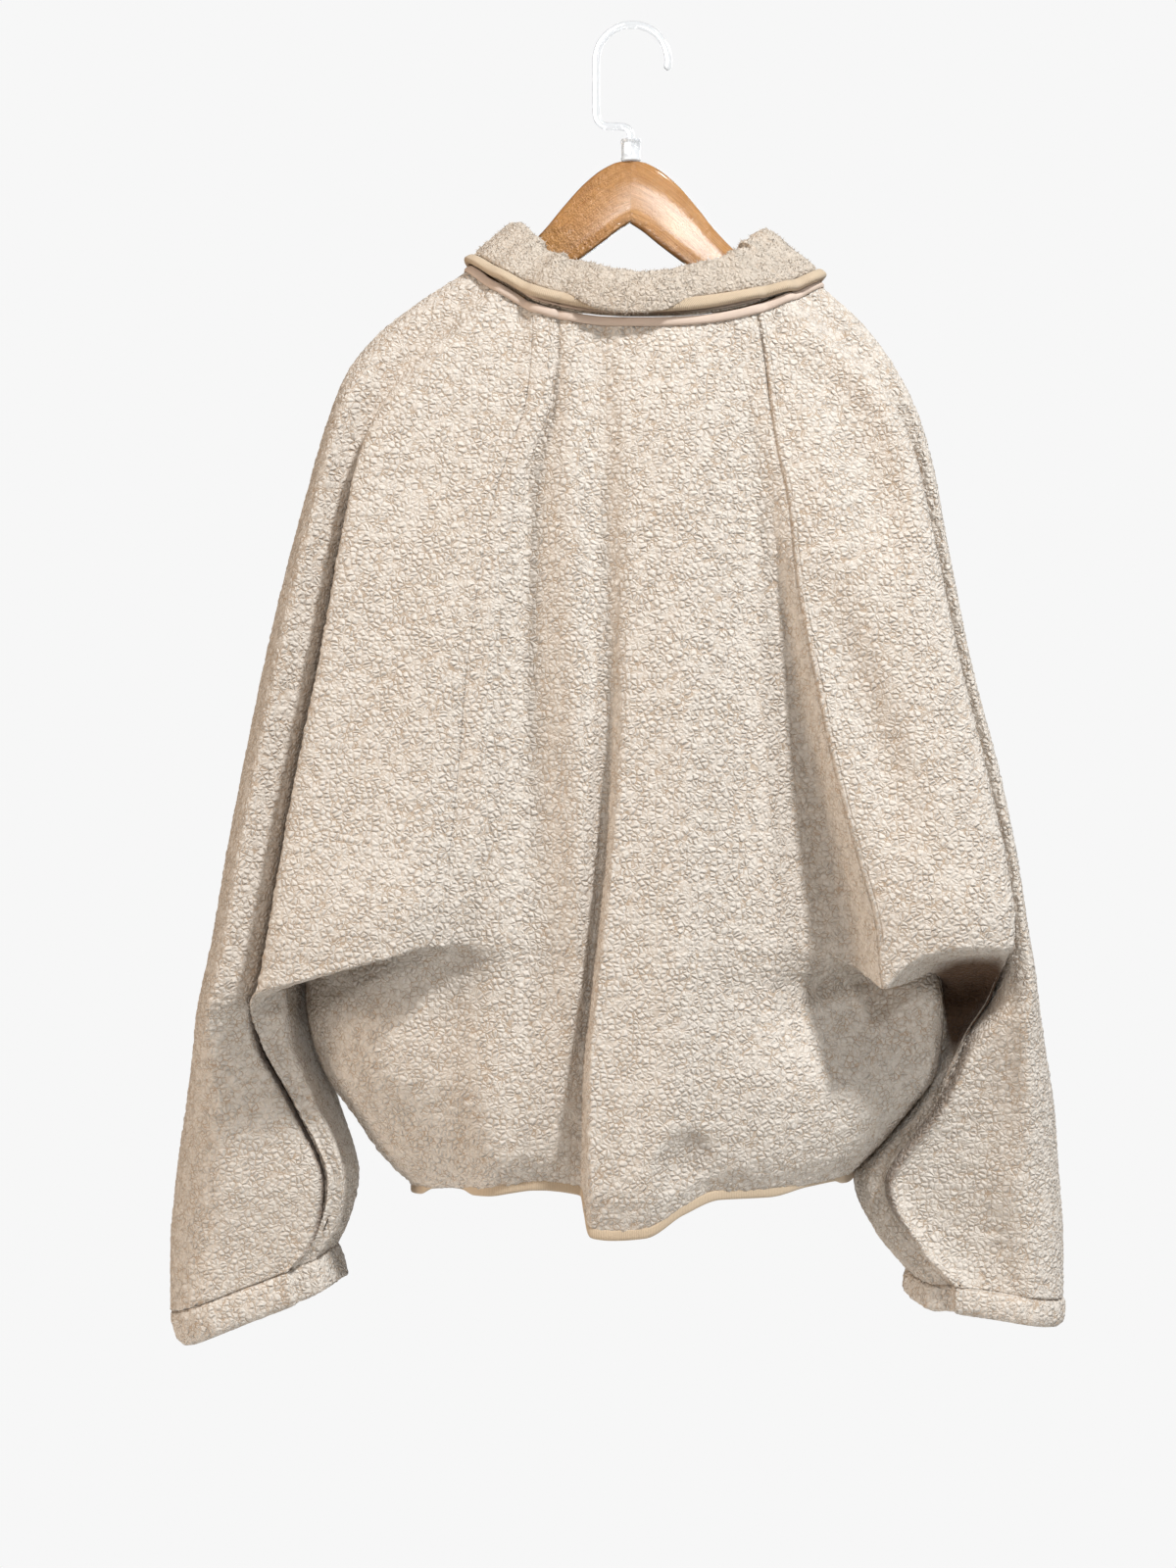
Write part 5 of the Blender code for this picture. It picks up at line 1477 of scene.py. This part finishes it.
class JACKET_OT_zip(bpy.types.Operator):
    """Zip tapes, teeth, slider, pull tab and bottom box"""

    bl_idname = "jacket.zip"
    bl_label = "Zip"

    # Width, depth and height of each tooth, the slider, the tab and the window in it.
    TOOTH = (3.4, 2.4, 1.5)
    SLIDER = (9.0, 3.0, 12.0)
    TAB = (7.0, 1.6, 24.0)
    WINDOW = (3.4, 5.0, 4.4)
    # How far the window's middle lies under the tab's top.
    WINDOW_DROP = 3.9
    # Where the tape starts and ends beside the zip's middle, and its thickness.
    TAPE = (2.9, 6.9)
    TAPE_WALL = 1.2
    # Where the first and last tooth stand from the zip's ends.
    TOOTH_START = 15.5
    TOOTH_END = 1.5

    def execute(self, context):
        sizes = context.scene.jacket_zip
        tape_paint = woven_paint("zip tape", tuple(sizes.tape), 0.9)
        plastic = plastic_paint(tuple(sizes.plastic))
        levels = np.linspace(0, LEVELS - 1, 170)
        for side, name in ((-1, "left"), (1, "right")):
            self.add_tape(side, name, levels, tape_paint)
            self.add_teeth(side, name, sizes.pitch / MM, plastic)
        self.add_slider(plastic)
        self.add_tab(plastic)
        self.add_box(plastic)
        return {"FINISHED"}

    def add_tape(self, side, name, levels, paint):
        node = "zip_tape_" + name
        line = trunk_line("zip", levels)
        spots = side * np.linspace(*self.TAPE[::side], 5)
        outer = np.stack([line + (x, -self.TAPE_WALL, 0) for x in spots], axis=1)[:, ::-1]
        mesh, row, col, _ = cloth_wall(node, outer, outer - (0, self.TAPE_WALL, 0), 1)
        place_in(mesh, "along", arc_lengths(outer, 0)[row, col])
        place_in(mesh, "across", arc_lengths(outer, 1)[row, col])
        add_piece("woven_" + node, mesh, paint, "jacket", node)

    def add_teeth(self, side, name, pitch, paint):
        levels = np.linspace(0, LEVELS - 1, 400)
        line = trunk_line("zip", levels)
        length = arc_lengths(line, 0)
        tooth = finished_mesh(rounded_block(self.TOOTH, 0.35, 1), "tooth")
        bm = bmesh.new()
        count = 0
        start = self.TOOTH_START + (pitch / 2 if side > 0 else 0)
        for at in np.arange(start, length[-1] - self.TOOTH_END, pitch):
            spot = [np.interp(at, length, line[:, axis]) for axis in range(3)]
            bm.from_mesh(tooth)
            verts = bm.verts[count:]
            count = len(bm.verts)
            move = (spot[0] + side * 1.3, spot[1] - 1.7, spot[2])
            bmesh.ops.translate(bm, vec=Vector(move) * MM, verts=verts)
        bpy.data.meshes.remove(tooth)
        node = "zip_teeth_" + name
        teeth = finished_mesh(bm, node, 40)
        add_piece("moulded_" + node, teeth, paint, "jacket", node)

    def finish_block(self, bm, node, centre, paint, body):
        """Puts a block in its place and makes it the piece of a node."""
        bmesh.ops.translate(bm, vec=Vector(centre), verts=bm.verts)
        bmesh.ops.recalc_face_normals(bm, faces=bm.faces)
        name = "moulded_" + node
        return add_piece(name, finished_mesh(bm, name, 40), paint, body, node)

    def add_slider(self, paint):
        low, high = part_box("zip_slider")
        bm = rounded_block(self.SLIDER, 0.8, 3)
        for vert in bm.verts:
            if vert.co.z < 0:
                vert.co.x *= 0.78
        centre = Vector(((low.x + high.x) / 2, low.y + self.SLIDER[1] / 2 * MM, (low.z + high.z) / 2))
        path = [(0.0, 0.0, 4.0), (0.0, 1.6, 4.2), (0.0, 3.3, 3.2), (0.0, 4.2, 1.4), (0.0, 4.4, 0.0),
                (0.0, 4.2, -1.4), (0.0, 3.3, -3.2), (0.0, 1.6, -4.2), (0.0, 0.0, -4.0)]
        path = pchip(range(9), path, np.linspace(0, 8, 33))
        tangent = unit(np.gradient(path, axis=0))
        side = np.array([[1.0, 0.0, 0.0]])
        arch, _, _ = tube_wall("arch", rings_along(path, side, 0.55 * np.cross(tangent, side), 12))
        bm.from_mesh(arch)
        bpy.data.meshes.remove(arch)
        self.finish_block(bm, "zip_slider", centre, paint, "jacket")

    def add_tab(self, paint):
        low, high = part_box("pull_tab")
        bm = rounded_block(self.TAB, 0.6, 3)
        for vert in bm.verts:
            drop = (self.TAB[2] / 2 * MM - vert.co.z) / (self.TAB[2] * MM)
            vert.co.x *= 0.72 + 0.28 * float(ease(drop * 1.6))
        centre = (low + high) / 2
        piece = self.finish_block(bm, "pull_tab", centre, paint, "tab")
        window = rounded_block(self.WINDOW, 0.8, 2)
        window_z = high.z - self.WINDOW_DROP * MM
        bmesh.ops.translate(window, vec=(centre.x, centre.y, window_z), verts=window.verts)
        knife = bpy.data.objects.new("window", finished_mesh(window, "window"))
        bpy.context.scene.collection.objects.link(knife)
        hole = piece.modifiers.new("window", "BOOLEAN")
        hole.operation = "DIFFERENCE"
        hole.object = knife
        bpy.context.view_layer.update()
        shaped = piece.evaluated_get(bpy.context.evaluated_depsgraph_get())
        mesh = bpy.data.meshes.new_from_object(shaped)
        piece.modifiers.clear()
        piece.data = mesh
        bpy.data.objects.remove(knife)

    def add_box(self, paint):
        low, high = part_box("zip_box")
        bm = rounded_block((high - low) / MM, 0.9, 3)
        self.finish_block(bm, "zip_box", (low + high) / 2, paint, "jacket")


# The hanger's arms: distance from the middle, height of the top and of the bottom edge.
ARM = [
    (0.2, -88, -129),
    (8, -89, -134),
    (18, -93.5, -142),
    (30, -103, -151),
    (44, -118.5, -161),
    (57, -134.5, -171),
    (70, -147.5, -180),
    (84, -159, -187),
    (96, -165.6, -193),
    (108, -171.8, -199),
    (120, -178, -205),
    (130, -183.8, -210),
    (140, -192.7, -216),
    (150, -201.8, -223),
    (162, -218.4, -232),
    (168, -226, -231),
]
# The whole hanger leans a little to the left.
HANGER_TILT = math.radians(0.55)
# Slope of each arm's face, which leans back toward its top edge.
CAMBER = 0.42
# How far along the grain the right arm is cut from the left one.
GRAIN_SHIFT = 400.0
HOOK_RADIUS = 24.0
HOOK_SWEEP = math.radians(195)
FERRULE_FOOT = -88.2


class JACKET_OT_hanger(bpy.types.Operator):
    """Wooden arms, ferrule and clear hook"""

    bl_idname = "jacket.hanger"
    bl_label = "Hanger"

    def execute(self, context):
        sizes = context.scene.jacket_hanger
        wood = wood_paint(tuple(sizes.wood))
        for side, name in ((-1, "left"), (1, "right")):
            self.add_arm(side, name, sizes.half_thickness / MM, wood)
        self.foot_x = -88.0 * math.sin(HANGER_TILT)
        self.add_ferrule()
        self.add_hook(sizes.rod / MM)
        return {"FINISHED"}

    def add_arm(self, side, name, half, paint):
        node = "hanger_arm_" + name
        table = np.array(ARM, float)
        # Sections every 2.5 mm, up to the rounded tip.
        x = np.concatenate([[0.05], np.arange(2.5, 166, 2.5), [166.5, 168.0]])
        top, bottom = pchip(table[:, 0], table[:, 1:], x).T
        middle = (top + bottom) / 2
        tall = (top - bottom) / 2
        turn = 2 * math.pi * (np.arange(40) + 0.5) / 40
        c = np.cos(turn)
        s = np.sin(turn)
        flat = np.sign(c) * np.abs(c) ** 0.42
        high = np.sign(s) * np.abs(s) ** np.where(s < 0, 0.3, 0.55)
        y = half * flat[None, :] * np.ones(len(x))[:, None]
        z = middle[:, None] + tall[:, None] * high[None, :]
        xs = np.broadcast_to(x[:, None] * side, z.shape)
        rings = np.stack([xs * math.cos(HANGER_TILT) + z * math.sin(HANGER_TILT), y,
                          z * math.cos(HANGER_TILT) - xs * math.sin(HANGER_TILT)], axis=2)
        mesh, row, col = tube_wall(node, rings)
        line = arc_lengths(np.stack([x, middle], axis=1), 0)
        place_in(mesh, "along", line[row] + (GRAIN_SHIFT if side > 0 else 0.0))
        across = (tall[:, None] * high[None, :] + y * 0.7)[row, col]
        place_in(mesh, "across", across)
        place_in(mesh, "camber", -CAMBER * across)
        add_piece("wooden_" + node, mesh, paint, "jacket", node)

    def add_ferrule(self):
        profile = ((0.0, 0.0), (5.9, 0.0), (6.5, 0.6), (6.5, 2.2), (6.1, 2.7), (6.1, 11.6), (6.5, 12.2),
                   (6.5, 14.0), (5.9, 14.7), (3.4, 14.7), (3.0, 14.3), (0.0, 14.2))
        bm = bmesh.new()
        verts = [bm.verts.new((radius * MM, 0.0, height * MM)) for radius, height in profile]
        edges = [bm.edges.new(pair) for pair in zip(verts, verts[1:])]
        bmesh.ops.spin(bm, geom=verts + edges, cent=(0, 0, 0), axis=(0, 0, 1), angle=2 * math.pi,
                       steps=40, use_merge=True)
        bmesh.ops.remove_doubles(bm, verts=bm.verts, dist=1e-6)
        bmesh.ops.recalc_face_normals(bm, faces=bm.faces)
        bmesh.ops.translate(bm, vec=(self.foot_x * MM, 0.0, FERRULE_FOOT * MM), verts=bm.verts)
        mesh = finished_mesh(bm, "ferrule", 40)
        add_piece("moulded_ferrule", mesh, ferrule_paint(), "jacket", "ferrule")

    def add_hook(self, rod):
        points = [(self.foot_x, -75.0), (self.foot_x, -70.0), (-3.0, -66.4), (-8.5, -65.0)]
        points += [(-17, -65), (-21.5, -63), (-23.6, -58), (-HOOK_RADIUS, -50), (-HOOK_RADIUS, -36)]
        for k in range(13):
            angle = math.pi - k * HOOK_SWEEP / 12
            points.append((HOOK_RADIUS * math.cos(angle), HOOK_RADIUS * math.sin(angle) - HOOK_RADIUS + rod))
        line = np.array([(x, 0.0, z) for x, z in points])
        share, length = shares_along(line)
        line = pchip(share, line, np.linspace(0, 1, round(length / 1.2)))
        line = smooth_row(line, 4)
        tangent = unit(np.gradient(line, axis=0))
        depth = np.array([[0.0, 1.0, 0.0]])
        at = arc_lengths(line, 0)
        left = np.clip((at[-1] - at) / rod, 0, 1)[:, None]
        radius = rod * np.sqrt(np.clip(1 - (1 - left) ** 2, 0.02, 1))
        rings = rings_along(line, radius * np.cross(tangent, depth), radius * depth, 20)
        mesh, _, _ = tube_wall("hook", rings)
        add_piece("bent_hook", mesh, clear_paint(), "jacket", "hook")


STEPS = (JACKET_OT_stage, JACKET_OT_panels, JACKET_OT_cuffs, JACKET_OT_collar, JACKET_OT_bindings,
         JACKET_OT_neck_lining, JACKET_OT_zip, JACKET_OT_hanger)
GROUPS = {"jacket_cloth": JacketCloth, "jacket_zip": JacketZip,
          "jacket_hanger": JacketHanger, "jacket_stage": JacketStage}


class JACKET_PT_sidebar(bpy.types.Panel):
    """Sizes, colours and building steps of the jacket"""

    bl_idname = "JACKET_PT_sidebar"
    bl_label = "Fleece jacket"
    bl_space_type = "VIEW_3D"
    bl_region_type = "UI"
    bl_category = "Jacket"

    def draw(self, context):
        for name, group in GROUPS.items():
            column = self.layout.column(heading=group.__doc__)
            for field in group.__annotations__:
                column.prop(getattr(context.scene, name), field)
        for step in STEPS:
            self.layout.operator(step.bl_idname)


CLASSES = tuple(GROUPS.values()) + STEPS + (JACKET_PT_sidebar,)


def register():
    for item in CLASSES:
        bpy.utils.register_class(item)
    for name, group in GROUPS.items():
        setattr(bpy.types.Scene, name, PointerProperty(type=group))


def unregister():
    for name in GROUPS:
        delattr(bpy.types.Scene, name)
    for item in reversed(CLASSES):
        bpy.utils.unregister_class(item)


def main():
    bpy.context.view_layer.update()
    register()
    bpy.ops.jacket.stage()
    bpy.ops.jacket.panels()
    bpy.ops.jacket.cuffs()
    bpy.ops.jacket.collar()
    bpy.ops.jacket.bindings()
    bpy.ops.jacket.neck_lining()
    bpy.ops.jacket.zip()
    bpy.ops.jacket.hanger()


if __name__ == "__main__":
    main()
